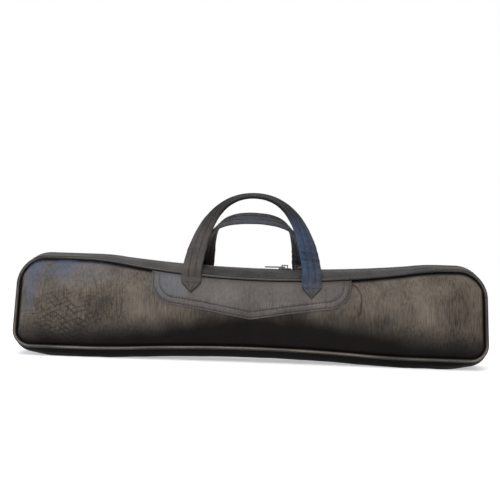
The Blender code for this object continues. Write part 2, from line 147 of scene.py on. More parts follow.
def cornerDrop(x, inset, corner):
    radius = corner - inset
    into = np.clip(radius - (case["halfLength"] - inset - np.abs(x)), 0.0, radius)
    return radius - np.sqrt(np.maximum(radius * radius - into * into, 0.0))


def upperEdge(x, inset):
    return topLevel(x) - inset - cornerDrop(x, inset, case["topCorner"])


def lowerEdge(x, inset):
    return case["base"] + riseAt(x)[0] + inset + cornerDrop(x, inset, case["bottomCorner"])


def crownAt(x, z):
    top, bottom = upperEdge(x, panelInset), lowerEdge(x, panelInset)
    across = np.minimum(np.abs(2 * z - top - bottom) / (top - bottom), 1.0)
    toEnd = case["halfLength"] - panelInset - np.abs(x)
    side = np.clip(toEnd / case["crownRun"], 0.0, 1.0)
    return case["crown"] * (1 - (1 - side) ** 2) * (1 - across ** case["crownPower"])


# The rim is the line of the piping: place, outward normal and swell at distance t
def upperRim(t):
    t = np.asarray(t, float)
    far = t > upperLength / 2
    s = np.where(far, upperLength - t, t)
    angle = np.clip((s - endRun) / case["topCorner"], 0.0, math.pi / 2)
    nx, nz = -np.cos(angle), np.sin(angle)
    x = -case["halfLength"] + case["topCorner"] * (1 + nx)
    side = case["base"] + case["bottomCorner"] + np.minimum(s, endRun)
    turn = case["base"] + case["endHeight"] - case["topCorner"] * (1 - nz)
    z = np.where(s < endRun, side, turn)
    onTop = s > endRun + topTurn
    along = -case["halfLength"] + case["topCorner"] + s - endRun - topTurn
    trueX = np.where(far, -along, along)
    depth, slope = waistAt(trueX)
    slope = np.where(far, -slope, slope)
    size = np.hypot(1.0, slope)
    x = np.where(onTop, along, x)
    z = np.where(onTop, case["base"] + case["endHeight"] - depth, z)
    nx, nz = np.where(onTop, slope / size, nx), np.where(onTop, 1 / size, nz)
    u = np.abs(trueX - case["waistShift"])
    v = np.minimum(u, waistArc)
    pipeClimb = waistRadius - np.sqrt(waistRadius ** 2 - v * v)
    inner = case["topSwell"] - pipeClimb + zipRadius - np.sqrt(zipRadius ** 2 - v * v)
    ease = smoothStep((case["waistReach"] - u) / case["waistEase"])
    outer = case["endSwell"] + (case["shoulderSwell"] - case["endSwell"]) * ease
    swell = np.where(onTop, np.where(u <= waistArc, inner, outer), case["endSwell"])
    return np.where(far, -x, x), z, np.where(far, -nx, nx), nz, swell


def lowerRim(t):
    t = np.asarray(t, float)
    far = t > lowerLength / 2
    s = np.where(far, lowerLength - t, t)
    taper = bottomTurn + case["halfLength"] - case["bottomCorner"] - case["footEnd"]
    swell = case["endSwell"] + (case["bottomSwell"] - case["endSwell"]) * smoothStep(s / taper)
    angle = np.clip(s / case["bottomCorner"], 0.0, math.pi / 2)
    nx, nz = -np.cos(angle), -np.sin(angle)
    x = -case["halfLength"] + case["bottomCorner"] * (1 + nx)
    z = case["base"] + case["bottomCorner"] * (1 + nz)
    onRun = s > bottomTurn
    along = -case["halfLength"] + case["bottomCorner"] + s - bottomTurn
    depth, slope = riseAt(along)
    size = np.hypot(1.0, slope)
    x, z = np.where(onRun, along, x), np.where(onRun, case["base"] + depth, z)
    nx, nz = np.where(onRun, slope / size, nx), np.where(onRun, -1 / size, nz)
    return np.where(far, -x, x), z, np.where(far, -nx, nx), nz, swell


def feed(tree, socket, value):
    if isinstance(value, bpy.types.NodeSocket):
        tree.links.new(value, socket)
    elif socket.type == "RGBA":
        socket.default_value = (*value[:3], 1.0)
    else:
        socket.default_value = value


def addNode(tree, kind, inputs=None, **settings):
    made = tree.nodes.new(kind)
    for key, value in settings.items():
        setattr(made, key, value)
    for key, value in (inputs or {}).items():
        feed(tree, made.inputs[key], value)
    return made


def mathNode(tree, operation, a, b=0.0, c=0.0):
    return addNode(tree, "ShaderNodeMath", {0: a, 1: b, 2: c}, operation=operation).outputs[0]


def vectorNode(tree, operation, inputs):
    return addNode(tree, "ShaderNodeVectorMath", inputs, operation=operation).outputs[0]


def mixColours(tree, share, a, b):
    return addNode(tree, "ShaderNodeMix", {0: share, 6: a, 7: b}, data_type="RGBA").outputs[2]


def remap(tree, value, low, high, toLow=0.0, toHigh=1.0):
    limits = {"Value": value, "From Min": low, "From Max": high, "To Min": toLow, "To Max": toHigh}
    return addNode(tree, "ShaderNodeMapRange", limits).outputs[0]


def noiseOf(tree, source, scale, detail, rough=0.5, output=0):
    inputs = {"Vector": source, "Scale": scale, "Detail": detail, "Roughness": rough}
    return addNode(tree, "ShaderNodeTexNoise", inputs).outputs[output]


def markOf(tree, name):
    return addNode(tree, "ShaderNodeAttribute", attribute_name=name).outputs["Fac"]


# (1 - share * value) times what it dims
def dimmed(tree, value, share, what):
    return mathNode(tree, "MULTIPLY", what, mathNode(tree, "MULTIPLY_ADD", value, -share, 1.0))


def newFinish(name):
    finish = bpy.data.materials.new(name)
    finish.use_nodes = True
    tree = finish.node_tree
    return finish, tree, tree.nodes["Principled BSDF"]


def addBump(tree, shader, height):
    bump = addNode(tree, "ShaderNodeBump", {"Height": height, "Strength": 1.0, "Distance": 1.0})
    tree.links.new(bump.outputs[0], shader.inputs["Normal"])


leather = {
    "pebbles": 1500.0, "pebbleShare": 1.6, "fine": 2600.0,
    "brushed": 900.0, "brushedRough": 0.65, "brushedStretch": (1.0, 1.0, 0.10),
    "blotches": 28.0, "blotchShare": 0.52, "lit": (0.28, 0.64),
    "bend": 70.0, "bendReach": 0.011, "creaseStretch": (0.34, 1.0, 1.0), "creasePatch": 60.0,
    # The crease and fold darkening here is painted shade in the creases and grooves; the cool share
    # takes painted sheen out of the grooves
    "creaseDark": 0.45, "foldDark": 0.80, "grooveSheenDim": 0.60, "roughSpread": 0.16,
    # turn, scale, width and strength of each family of fine creases
    "creases": ((-0.75, 230.0, 0.030, 1.0), (0.60, 260.0, 0.028, 0.9),
                (1.45, 210.0, 0.024, 0.7), (0.10, 330.0, 0.030, 0.6)),
}
# The dark and the lighter colour of each leather are its painted shaded and lit tones, which
# painted shade and random blotches and grain mix; the bluish colour is a painted cool sheen, and
# the piping's pale colour a painted highlight
leatherLooks = {
    "panel": {"dark": (0.0030, 0.0023, 0.0026), "litTone": (0.142, 0.120, 0.098),
              "paintedSheen": (0.060, 0.084, 0.135), "rough": 0.40, "gloss": 0.05,
              "grain": 0.00007, "streak": 0.00013, "crease": 0.00030},
    "yoke": {"dark": (0.022, 0.019, 0.018), "litTone": (0.094, 0.083, 0.078),
             "paintedSheen": (0.072, 0.092, 0.125), "rough": 0.44, "gloss": 0.15,
             "grain": 0.00005, "streak": 0.00007, "crease": 0.0002},
    "gusset": {"dark": (0.0030, 0.0025, 0.0030), "litTone": (0.075, 0.070, 0.070),
               "paintedSheen": (0.060, 0.070, 0.090), "rough": 0.44, "gloss": 0.05,
               "grain": 0.00006, "streak": 0.00002, "crease": 0.0002},
    "strap": {"dark": (0.0060, 0.0050, 0.0050), "litTone": (0.068, 0.060, 0.056),
              "paintedSheen": (0.030, 0.068, 0.140), "rough": 0.46, "gloss": 0.06,
              "grain": 0.00008, "streak": 0.00004, "crease": 0.0003},
    "piping": {"dark": (0.0030, 0.0026, 0.0026), "litTone": (0.270, 0.225, 0.190),
               "paintedSheen": (0.014, 0.016, 0.020), "rough": 0.30, "gloss": 0.20,
               "grain": 0.00003, "streak": 0.0, "crease": 0.0001},
}


def fineCreases(tree, coords):
    bend = noiseOf(tree, coords, leather["bend"], 3.0, output="Color")
    bend = vectorNode(tree, "SUBTRACT", {0: bend, 1: (0.5, 0.5, 0.5)})
    bend = vectorNode(tree, "SCALE", {0: bend, "Scale": leather["bendReach"]})
    warped = vectorNode(tree, "ADD", {0: coords, 1: bend})
    crease = None
    for turn, scale, width, strength in leather["creases"]:
        lined = addNode(tree, "ShaderNodeMapping", {
            "Vector": warped, "Rotation": (0.0, turn, 0.0),
            "Scale": leather["creaseStretch"]}).outputs[0]
        line = mathNode(tree, "SUBTRACT", noiseOf(tree, lined, scale, 1.0), 0.5)
        line = remap(tree, mathNode(tree, "ABSOLUTE", line), 0.0, width, 1.0, 0.0)
        line = mathNode(tree, "MULTIPLY", line, strength)
        patch = remap(tree, noiseOf(tree, lined, leather["creasePatch"], 1.0), 0.40, 0.60)
        line = mathNode(tree, "MULTIPLY", line, patch)
        crease = line if crease is None else mathNode(tree, "MAXIMUM", crease, line)
    return crease


# Embossed vinyl: fine pebbles, brushed vertical grain, and creases where the mesh says so, with
# painted shade and a painted cool sheen in its colour
def leatherFinish(name, look):
    finish, tree, shader = newFinish(name)
    coords = addNode(tree, "ShaderNodeTexCoord").outputs["Object"]
    worn, shade, paintedSheen, grooveShade = (markOf(tree, mark) for mark in ("worn", "shade", "paintedSheen", "grooveShade"))
    pebbles = addNode(tree, "ShaderNodeTexVoronoi", {"Vector": coords, "Scale": leather["pebbles"]},
                      feature="SMOOTH_F1").outputs["Distance"]
    fine = noiseOf(tree, coords, leather["fine"], 3.0)
    tall = {"Vector": coords, "Scale": leather["brushedStretch"]}
    tall = addNode(tree, "ShaderNodeMapping", tall)
    brushed = noiseOf(tree, tall.outputs[0], leather["brushed"], 5.0, leather["brushedRough"])
    blotches = noiseOf(tree, coords, leather["blotches"], 4.0)
    crease = mathNode(tree, "MULTIPLY", fineCreases(tree, coords), worn)
    height = mathNode(tree, "MULTIPLY", pebbles, look["grain"] * leather["pebbleShare"])
    height = mathNode(tree, "MULTIPLY_ADD", fine, look["grain"], height)
    height = mathNode(tree, "MULTIPLY_ADD", brushed, look["streak"], height)
    height = mathNode(tree, "MULTIPLY_ADD", crease, -look["crease"], height)
    addBump(tree, shader, height)
    lit = mathNode(tree, "MULTIPLY", brushed, 1 - leather["blotchShare"])
    lit = mathNode(tree, "MULTIPLY_ADD", blotches, leather["blotchShare"], lit)
    # Painted shade: the shade mark, the fine creases and the groove mark darken the tone
    lit = dimmed(tree, shade, 1.0, remap(tree, lit, *leather["lit"]))
    lit = dimmed(tree, crease, leather["creaseDark"], lit)
    lit = dimmed(tree, grooveShade, leather["foldDark"], lit)
    colour = mixColours(tree, lit, look["dark"], look["litTone"])
    # Painted cool sheen where its mark says, dimmed in the grooves
    paintedSheen = mathNode(tree, "MULTIPLY", paintedSheen, remap(tree, brushed, 0.35, 0.65, 0.35, 1.0))
    paintedSheen = dimmed(tree, grooveShade, leather["grooveSheenDim"], paintedSheen)
    feed(tree, shader.inputs["Base Color"], mixColours(tree, paintedSheen, colour, look["paintedSheen"]))
    start = look["rough"] - leather["roughSpread"] / 2
    rough = mathNode(tree, "MULTIPLY_ADD", blotches, leather["roughSpread"], start)
    feed(tree, shader.inputs["Roughness"], mathNode(tree, "MULTIPLY_ADD", crease, 0.10, rough))
    feed(tree, shader.inputs["Specular IOR Level"], look["gloss"])
    return finish


clothLooks = {
    "lining": {"dark": (0.020, 0.020, 0.024), "pale": (0.050, 0.050, 0.056),
               "pitch": 0.0007, "depth": 0.00006},
    "tape": {"dark": (0.010, 0.010, 0.011), "pale": (0.034, 0.033, 0.034),
             "pitch": 0.0009, "depth": 0.00012},
}

clothShader = {"Roughness": 0.85, "Sheen Weight": 0.15, "Specular IOR Level": 0.25}


# Plain weave on the piece's own UV map, in metres
def clothFinish(name, look):
    finish, tree, shader = newFinish(name)
    grid = addNode(tree, "ShaderNodeUVMap", uv_map="weave").outputs[0]
    parts = addNode(tree, "ShaderNodeSeparateXYZ", {0: grid})
    pitch = 2 * math.pi / look["pitch"]
    warp, weft = (mathNode(tree, "SINE", mathNode(tree, "MULTIPLY", parts.outputs[k], pitch))
                  for k in (0, 1))
    over = mathNode(tree, "MULTIPLY", warp, weft)
    fuzz = noiseOf(tree, grid, 1800.0, 4.0)
    soft = mathNode(tree, "MULTIPLY", fuzz, look["depth"])
    addBump(tree, shader, mathNode(tree, "MULTIPLY_ADD", over, look["depth"], soft))
    tone = remap(tree, mathNode(tree, "MULTIPLY_ADD", over, 0.25, fuzz), 0.2, 0.8)
    feed(tree, shader.inputs["Base Color"], mixColours(tree, tone, look["dark"], look["pale"]))
    for socket, value in clothShader.items():
        feed(tree, shader.inputs[socket], value)
    return finish


plainLooks = {
    "foamPadding": {"dark": (0.16, 0.16, 0.17), "pale": (0.26, 0.26, 0.27), "rough": 0.92,
                    "metal": 0.0, "scale": 900.0, "depth": 0.0002, "gloss": 0.2},
    "blackThread": {"dark": (0.003, 0.0026, 0.0026), "pale": (0.009, 0.008, 0.008), "rough": 0.62,
                    "metal": 0.0, "scale": 4000.0, "depth": 0.00005, "gloss": 0.25},
    "zipPlastic": {"dark": (0.012, 0.012, 0.013), "pale": (0.026, 0.026, 0.027), "rough": 0.36,
                   "metal": 0.0, "scale": 600.0, "depth": 0.00002, "gloss": 0.4},
    "darkNickel": {"dark": (0.035, 0.033, 0.031), "pale": (0.075, 0.072, 0.070), "rough": 0.34,
                   "metal": 1.0, "scale": 300.0, "depth": 0.00001, "gloss": 0.5},
}


def plainFinish(name, look):
    finish, tree, shader = newFinish(name)
    coords = addNode(tree, "ShaderNodeTexCoord").outputs["Object"]
    noise = noiseOf(tree, coords, look["scale"], 4.0)
    tone = remap(tree, noise, 0.35, 0.65)
    feed(tree, shader.inputs["Base Color"], mixColours(tree, tone, look["dark"], look["pale"]))
    rough = mathNode(tree, "MULTIPLY_ADD", noise, 0.2, look["rough"] - 0.1)
    feed(tree, shader.inputs["Roughness"], rough)
    addBump(tree, shader, mathNode(tree, "MULTIPLY", noise, look["depth"]))
    feed(tree, shader.inputs["Metallic"], look["metal"])
    feed(tree, shader.inputs["Specular IOR Level"], look["gloss"])
    return finish


panelLeather, yokeLeather, gussetLeather, strapLeather, pipingLeather = (
    leatherFinish(name + "Leather", look) for name, look in leatherLooks.items())
liningCloth, tapeCloth = (clothFinish(name + "Cloth", look) for name, look in clothLooks.items())
foamFinish, threadFinish, teethFinish, metalFinish = (
    plainFinish(name, look) for name, look in plainLooks.items())
print("finishes made")

# The case's ends lean out a little towards its bottom
splay = {"reach": 0.0025, "level": 0.052, "half": 0.042, "power": 3}


def leanEnds(points):
    points = np.array(points, float)
    share = np.clip((splay["level"] - points[:, 2]) / splay["half"], -1.0, 1.0)
    far = np.abs(points[:, 0] / case["halfLength"]) ** splay["power"]
    points[:, 0] += np.sign(points[:, 0]) * splay["reach"] * share * far
    return points


def addPiece(name, points, faces, finish, uv=None, sharp=40.0, marks=None):
    points = leanEnds(points)
    mesh = bpy.data.meshes.new(name)
    mesh.from_pydata(points.tolist(), [], faces)
    mesh.validate()
    mesh.calc_loop_triangles()
    tris = np.empty(len(mesh.loop_triangles) * 3, np.int32)
    mesh.loop_triangles.foreach_get("vertices", tris)
    a, b, c = (points[tris.reshape(-1, 3)[:, k]] for k in range(3))
    if np.einsum("ij,ij->i", a, np.cross(b, c)).sum() < 0:  # inside out
        mesh.flip_normals()
    if uv is not None:
        corner = np.empty(len(mesh.loops), np.int32)
        mesh.loops.foreach_get("vertex_index", corner)
        layer = mesh.uv_layers.new(name="weave")
        layer.data.foreach_set("uv", np.asarray(uv, np.float32)[corner].ravel())
    for key, values in (marks or {}).items():
        mark = mesh.attributes.new(key, "FLOAT", "POINT")
        mark.data.foreach_set("value", np.asarray(values, np.float32))
    mesh.shade_smooth()
    mesh.set_sharp_from_angle(angle=math.radians(sharp))
    mesh.materials.append(finish)
    piece = bpy.data.objects.new(name, mesh)
    bpy.context.scene.collection.objects.link(piece)
    return piece


def gridFaces(rows, columns):
    k = np.arange(rows * columns).reshape(rows, columns)
    return np.stack([k[:-1, :-1], k[1:, :-1], k[1:, 1:], k[:-1, 1:]], -1).reshape(-1, 4)


# A closed sheet: outer and inner are grids of the same size
def addShell(name, outer, inner, finish, uv=None, marks=None):
    rows, columns = outer.shape[:2]
    size = rows * columns
    top = gridFaces(rows, columns)
    k = np.arange(size).reshape(rows, columns)
    edge = np.concatenate([k[0, :], k[1:, -1], k[-1, -2::-1], k[-2:0:-1, 0]])
    after = np.roll(edge, -1)
    rim = np.stack([edge, after, after + size, edge + size], -1)
    faces = np.concatenate([top, top[:, ::-1] + size, rim]).tolist()
    points = np.concatenate([outer.reshape(-1, 3), inner.reshape(-1, 3)])
    if uv is not None:
        uv = np.concatenate([uv.reshape(-1, 2)] * 2)
    marks = {key: np.concatenate([np.broadcast_to(value, (rows, columns)).ravel()] * 2)
             for key, value in (marks or {}).items()}
    return addPiece(name, points, faces, finish, uv, marks=marks)


# Rings of the same size joined into a tube, closed at its ends or all round
def addTube(name, rings, finish, closed=False, sharp=50.0, marks=None):
    count, ring = rings.shape[:2]
    k = np.arange(count * ring).reshape(count, ring)
    around = np.roll(k, -1, axis=1)
    if closed:
        a, b, c, d = k, around, np.roll(around, -1, axis=0), np.roll(k, -1, axis=0)
    else:
        a, b, c, d = k[:-1], around[:-1], around[1:], k[1:]
    faces = np.stack([a, b, c, d], -1).reshape(-1, 4).tolist()
    if not closed:
        faces += [k[0, ::-1].tolist(), k[-1].tolist()]
    marks = {key: value.ravel() if np.ndim(value) == 2 else np.repeat(value, ring)
             for key, value in (marks or {}).items()}
    return addPiece(name, rings.reshape(-1, 3), faces, finish, sharp=sharp, marks=marks)


def fitPiece(piece, body, slotName, *nodes):
    if body:
        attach(piece, body)
    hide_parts(*nodes)
    return piece


# Evenly spaced places on a line, and its direction there
def walk(points, step):
    points = np.asarray(points, float)
    sizes = np.linalg.norm(np.diff(points, axis=0), axis=1)
    run = np.concatenate([[0.0], np.cumsum(sizes)])
    count = max(int(run[-1] / step), 1)
    places = run[-1] * (np.arange(count) + 0.5) / count
    made, ahead, behind = (placed(*(np.interp(places + shift, run, points[:, k]) for k in range(3)))
                           for shift in (0.0, 1e-4, -1e-4))
    return made, unit(ahead - behind)


stitch = {"length": 0.0021, "pitch": 0.0027, "radius": 0.00030, "dip": 0.00030, "slant": 0.10,
          "raise": 0.35, "sides": 6, "spots": (-0.5, -0.34, 0.0, 0.34, 0.5),
          "widths": (0.25, 0.85, 1.0, 0.85, 0.25)}


# One row of stitches, each a short spindle of thread that dips at both ends
def addStitches(name, lines, normalAt, body, pitch=stitch["pitch"]):
    sides, rings = stitch["sides"], len(stitch["spots"])
    turns = [2 * math.pi * k / sides for k in range(sides)]
    points, faces = [], []
    for line in lines:
        centres, along = walk(line, pitch)
        normals = normalAt(centres)
        across = unit(np.cross(along, normals))
        along = along + across * stitch["slant"]
        for c, a, n, w in zip(centres, along, normals, across):
            start = len(points)
            for s, r in zip(stitch["spots"], stitch["widths"]):
                lift = stitch["radius"] * stitch["raise"] - stitch["dip"] * (2 * s) ** 2
                middle = c + a * (s * stitch["length"]) + n * lift
                points += [middle + (w * math.cos(q) + n * math.sin(q)) * stitch["radius"] * r
                           for q in turns]
            for j in range(rings - 1):
                a0, b0 = start + j * sides, start + (j + 1) * sides
                for k in range(sides):
                    m = (k + 1) % sides
                    faces.append([a0 + k, a0 + m, b0 + m, b0 + k])
            faces.append([start + k for k in range(sides)][::-1])
            faces.append([start + (rings - 1) * sides + k for k in range(sides)])
    piece = addPiece(name, np.array(points), faces, threadFinish)
    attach(piece, body)
    return piece


# Panels: the zones give how far apart the columns stand up to each place
panel = {"cornerColumns": 20, "rows": 108, "dip": 0.0008, "dipWidth": 0.0022, "evenly": 0.8,
         "zones": ((-0.105, 0.00052), (0.090, 0.0017), (0.108, 0.0007), (0.2, 0.0017)),
         # netDark and foldDark are painted shade in the crease net and the long fold
         "netDepth": 0.00040, "netDark": 0.90, "wave": 0.00022,
         "foldDepth": 0.00025, "foldWidth": 0.0007, "foldDark": 0.8,
         "wrinkle": 0.00040, "wrinkleAt": (-0.148, 0.022), "wrinkleFrom": (0.045, 0.020),
         "pucker": 0.00012, "puckerAt": (0.003, 0.003), "puckerFrom": 0.001, "calm": 0.012,
         "fold": ((0.0930, 0.0800), (0.1010, 0.0775), (0.1052, 0.0700), (0.1055, 0.0600),
                  (0.1029, 0.0444))}
padding = {"inset": 0.0025, "cornerColumns": 10, "columns": 150, "rows": 30, "puff": 0.0003,
           "puffFrom": 0.02, "fill": 0.8}


def panelColumns(inset, corner, middle, zones):
    end = case["halfLength"] - inset
    radius = case["topCorner"] - inset
    turn = end - radius * (1 - np.cos(math.pi / 2 * np.arange(corner) / corner))
    inner = np.linspace(-(end - radius), end - radius, middle + 1)
    if zones:
        stops = [-(end - radius)] + [stop for stop, _ in zones[:-1]] + [end - radius]
        parts = [np.linspace(a, b, int((b - a) / step) + 2)[:-1]
                 for a, b, (_, step) in zip(stops, stops[1:], zones)]
        inner = np.concatenate(parts + [[end - radius]])
    return np.concatenate([-turn, inner, turn[::-1]])


def layerGrid(inset, corner, middle, rows, zones=None, evenly=0.0, mirrored=False):
    x = panelColumns(inset, corner, middle, zones)
    x = -x[::-1] if mirrored else x
    v = np.linspace(0, 1, rows + 1)
    v = evenly * v + (1 - evenly) * (1 - np.cos(math.pi * v)) / 2
    low, high = lowerEdge(x, inset), upperEdge(x, inset)
    z = low[None, :] + (high - low)[None, :] * v[:, None]
    return np.broadcast_to(x, z.shape).copy(), z


def edgeDistance(x, z):
    toTop = upperEdge(x, panelInset) - z
    toLow = z - lowerEdge(x, panelInset)
    toEnd = case["halfLength"] - panelInset - np.abs(x)
    return np.maximum(np.minimum(np.minimum(toTop, toLow), toEnd), 0.0)


skinCloth = {"corner": 5, "columns": 104, "rows": 25, "frames": 20, "cap": 0.0010,
             "uneven": 0.0003}
skinSettings = {
    "quality": 6, "mass": 0.25, "tension_stiffness": 18.0, "compression_stiffness": 18.0,
    "shear_stiffness": 9.0, "bending_stiffness": 0.6, "shrink_min": -0.012,
    "use_pressure": True, "uniform_pressure_force": 4.0, "vertex_group_mass": "sewn",
}


# The skin of one half is cut a little large and pressed out by its padding.
# Returns how far it comes to rest off its crown.
def settledSkin(side):
    x, z = layerGrid(panelInset, skinCloth["corner"], skinCloth["columns"], skinCloth["rows"])
    bulge = case["halfDepth"] + crownAt(x, z)
    uneven = skinCloth["uneven"] * ripples(x, z, 91 + side, 6, (0.02, 0.06))
    mesh = bpy.data.meshes.new("skinTrial")
    mesh.from_pydata(placed(x, side * (bulge + uneven), z).reshape(-1, 3).tolist(), [],
                     gridFaces(*x.shape)[:, ::side].tolist())
    trial = bpy.data.objects.new("skinTrial", mesh)
    bpy.context.scene.collection.objects.link(trial)
    sewn = trial.vertex_groups.new(name="sewn")
    k = np.arange(x.size).reshape(x.shape)
    rim = np.concatenate([k[0], k[-1], k[1:-1, 0], k[1:-1, -1]])
    sewn.add(rim.tolist(), 1.0, "REPLACE")
    cloth = trial.modifiers.new("skinCloth", "CLOTH")
    for key, value in skinSettings.items():
        setattr(cloth.settings, key, value)
    cloth.settings.effector_weights.gravity = 0.0
    cloth.collision_settings.use_collision = False
    cloth.collision_settings.use_self_collision = False
    for step in range(1, skinCloth["frames"] + 1):
        bpy.context.scene.frame_set(step)
    settled = trial.evaluated_get(bpy.context.evaluated_depsgraph_get()).to_mesh()
    rest = np.empty(len(settled.vertices) * 3)
    settled.vertices.foreach_get("co", rest)
    bpy.data.objects.remove(trial)
    bpy.context.scene.frame_set(1)
    push = side * rest.reshape(-1, 3)[:, 1].reshape(x.shape) - bulge
    return x[0], skinCloth["cap"] * np.tanh(push / skinCloth["cap"])


def settledAt(x, z, side):
    columns, push = settledSkins[side]
    low, high = lowerEdge(x, panelInset), upperEdge(x, panelInset)
    share = np.clip((z - low) / (high - low), 0.0, 1.0)
    down = np.arccos(1 - 2 * share) / math.pi * (push.shape[0] - 1)
    over = np.interp(x, columns, np.arange(columns.size))
    i = np.clip(down.astype(int), 0, push.shape[0] - 2)
    j = np.clip(over.astype(int), 0, columns.size - 2)
    a, b = smoothStep(down - i), smoothStep(over - j)
    upper = push[i, j] * (1 - b) + push[i, j + 1] * b
    lower = push[i + 1, j] * (1 - b) + push[i + 1, j + 1] * b
    return upper * (1 - a) + lower * a


settledSkins = {side: settledSkin(side) for _, side in halves}
print("skins settled")

# Worn creases: direction across the lines, spacing, strength and the patch they fill
netLines = (
    {"across": 0.96, "pitch": 0.0050, "seed": 51, "strength": 1.0,
     "at": (-0.180, 0.040), "reach": (0.034, 0.026)},
    {"across": 1.95, "pitch": 0.0044, "seed": 52, "strength": 0.9,
     "at": (-0.178, 0.042), "reach": (0.036, 0.026)},
    {"across": 0.06, "pitch": 0.0056, "seed": 53, "strength": 0.65,
     "at": (-0.146, 0.058), "reach": (0.024, 0.026)},
)
net = {"width": 0.36, "bend": 0.95, "jitter": 0.14, "least": 0.25, "from": -0.214, "ease": 0.010}


def creaseNet(x, z, side):
    left = np.where(side < 0, x, -x)
    total = np.zeros_like(x)
    for line in netLines:
        seed = line["seed"] + side
        bend = net["bend"] * ripples(x, z, seed, 5, (0.024, 0.050))
        bend = bend + net["jitter"] * ripples(x, z, seed + 20, 5, (0.007, 0.012))
        run = x * math.cos(line["across"]) + z * math.sin(line["across"])
        wave = np.sin(run / line["pitch"] * math.pi + bend)
        patch = smoothStep(0.60 + 0.95 * ripples(x, z, seed + 10, 6, (0.008, 0.018)))
        patch = net["least"] + (1 - net["least"]) * patch
        away = ((left - line["at"][0]) / line["reach"][0]) ** 2
        away = away + ((z - line["at"][1]) / line["reach"][1]) ** 2
        here = line["strength"] * bell(wave, net["width"]) * patch * bell(away, 1)
        total = np.maximum(total, here)
    return total * smoothStep((left - net["from"]) / net["ease"])


# The one long fold beside the yoke
def foldLine(x, z):
    near = np.full(x.shape, 1.0)
    points = np.array(panel["fold"])
    for _ in range(3):  # rounds its corners
        cut = [points[:-1] * 0.75 + points[1:] * 0.25, points[:-1] * 0.25 + points[1:] * 0.75]
        points = np.stack(cut, 1).reshape(-1, 2)
    for (ax, az), (bx, bz) in zip(points, points[1:]):
        share = (x - ax) * (bx - ax) + (z - az) * (bz - az)
        share = np.clip(share / ((bx - ax) ** 2 + (bz - az) ** 2), 0, 1)
        near = np.minimum(near, np.hypot(x - ax - share * (bx - ax), z - az - share * (bz - az)))
    return bell(near, panel["foldWidth"])


# How far the leatherette stands from the middle plane, with its sewn-in edge and soft waves
def panelFace(x, z, side):
    near = edgeDistance(x, z)
    calm = smoothStep(near / panel["calm"])
    seed = 3 if side < 0 else 8
    off = case["halfDepth"] + crownAt(x, z) - panel["dip"] * bell(near, panel["dipWidth"])
    off = off + panel["wave"] * calm * ripples(x, z, seed, 7, (0.03, 0.09))
    off = off + calm * settledAt(x, z, side)
    folds = ripples(x, z, seed + 1, 5, (0.008, 0.015), lean=0.15, spread=0.28)
    (at, reach), (low, fade) = panel["wrinkleAt"], panel["wrinkleFrom"]
    here = bell(x - at, reach) * smoothStep((z - low) / fade)
    off = off + panel["wrinkle"] * calm * here * folds
    off = off - panel["netDepth"] * creaseNet(x, z, side)
    if side < 0:
        off = off - panel["foldDepth"] * foldLine(x, z)
    pucker = ripples(x, z, seed + 2, 6, (0.004, 0.009), lean=0.0, spread=0.35)
    at, reach = panel["puckerAt"]
    pucker = pucker * bell(near - at, reach) * smoothStep(near / panel["puckerFrom"])
    return off + panel["pucker"] * pucker


# Where fine creases show, then painted shade below a wavy level and a painted shadow along the
# piping's edge, and patches of painted cool sheen
wearAndPaintedLight = {"from": -0.085, "to": -0.15, "everywhere": 0.10, "high": 0.55, "highFrom": 0.075,
        "highFade": 0.03, "dark": 0.97, "darkLevel": 0.043, "darkRise": 0.027, "darkAt": 0.02,
        "darkReach": 0.115, "darkFade": 0.032, "darkUneven": 0.0015,
        "edge": 0.0035, "edgeFade": 0.0026, "sheenEven": 0.8, "sheenUneven": 0.25,
        # middle, half width, lowest level, fade and strength of each patch of painted cool sheen
        "paintedSheen": ((-0.180, 0.045, 0.066, 0.018, 0.55), (-0.184, 0.010, 0.076, 0.008, 0.50),
                 (-0.212, 0.006, 0.034, 0.03, 0.85))}


# The panel's marks: where fine creases show, painted shade, painted cool sheen, and painted shade
# in the crease lines and the long fold
def panelMarks(x, z, side):
    left = np.where(side < 0, x, -x)
    worn = smoothStep((wearAndPaintedLight["from"] - left) / (wearAndPaintedLight["from"] - wearAndPaintedLight["to"]))
    lower = smoothStep((wearAndPaintedLight["highFrom"] - z) / wearAndPaintedLight["highFade"])
    worn = worn * (wearAndPaintedLight["high"] + (1 - wearAndPaintedLight["high"]) * lower) + wearAndPaintedLight["everywhere"]
    # Painted shade: darker below a wavy level, and a painted shadow along the piping's edge
    level = wearAndPaintedLight["darkLevel"] + wearAndPaintedLight["darkRise"] * bell(left - wearAndPaintedLight["darkAt"], wearAndPaintedLight["darkReach"])
    level = level + wearAndPaintedLight["darkUneven"] * ripples(x, z, 71, 6, (0.02, 0.07))
    edge = smoothStep((wearAndPaintedLight["edge"] - edgeDistance(x, z)) / wearAndPaintedLight["edgeFade"])
    shade = wearAndPaintedLight["dark"] * np.maximum(smoothStep((level - z) / wearAndPaintedLight["darkFade"]), edge)
    # Painted cool sheen in patches near the left end
    paintedSheen = sum(strength * bell(left - at, reach) * smoothStep((z - low) / fade)
               for at, reach, low, fade, strength in wearAndPaintedLight["paintedSheen"])
    soft = wearAndPaintedLight["sheenEven"] + wearAndPaintedLight["sheenUneven"] * ripples(x, z, 72, 6, (0.01, 0.03))
    paintedSheen = np.clip(paintedSheen * soft, 0.0, 1.0)
    # Painted shade in the crease net and the long fold
    grooveShade = panel["netDark"] * creaseNet(x, z, side)
    if side < 0:
        grooveShade = np.maximum(grooveShade, panel["foldDark"] * foldLine(x, z))
    return {"worn": worn, "shade": shade, "paintedSheen": paintedSheen, "grooveShade": grooveShade}


def addLayer(name, x, z, outerOff, innerOff, finish, **more):
    outer, inner = (placed(x, off, z) for off in (outerOff, innerOff))
    return addShell(name, outer, inner, finish, **more)


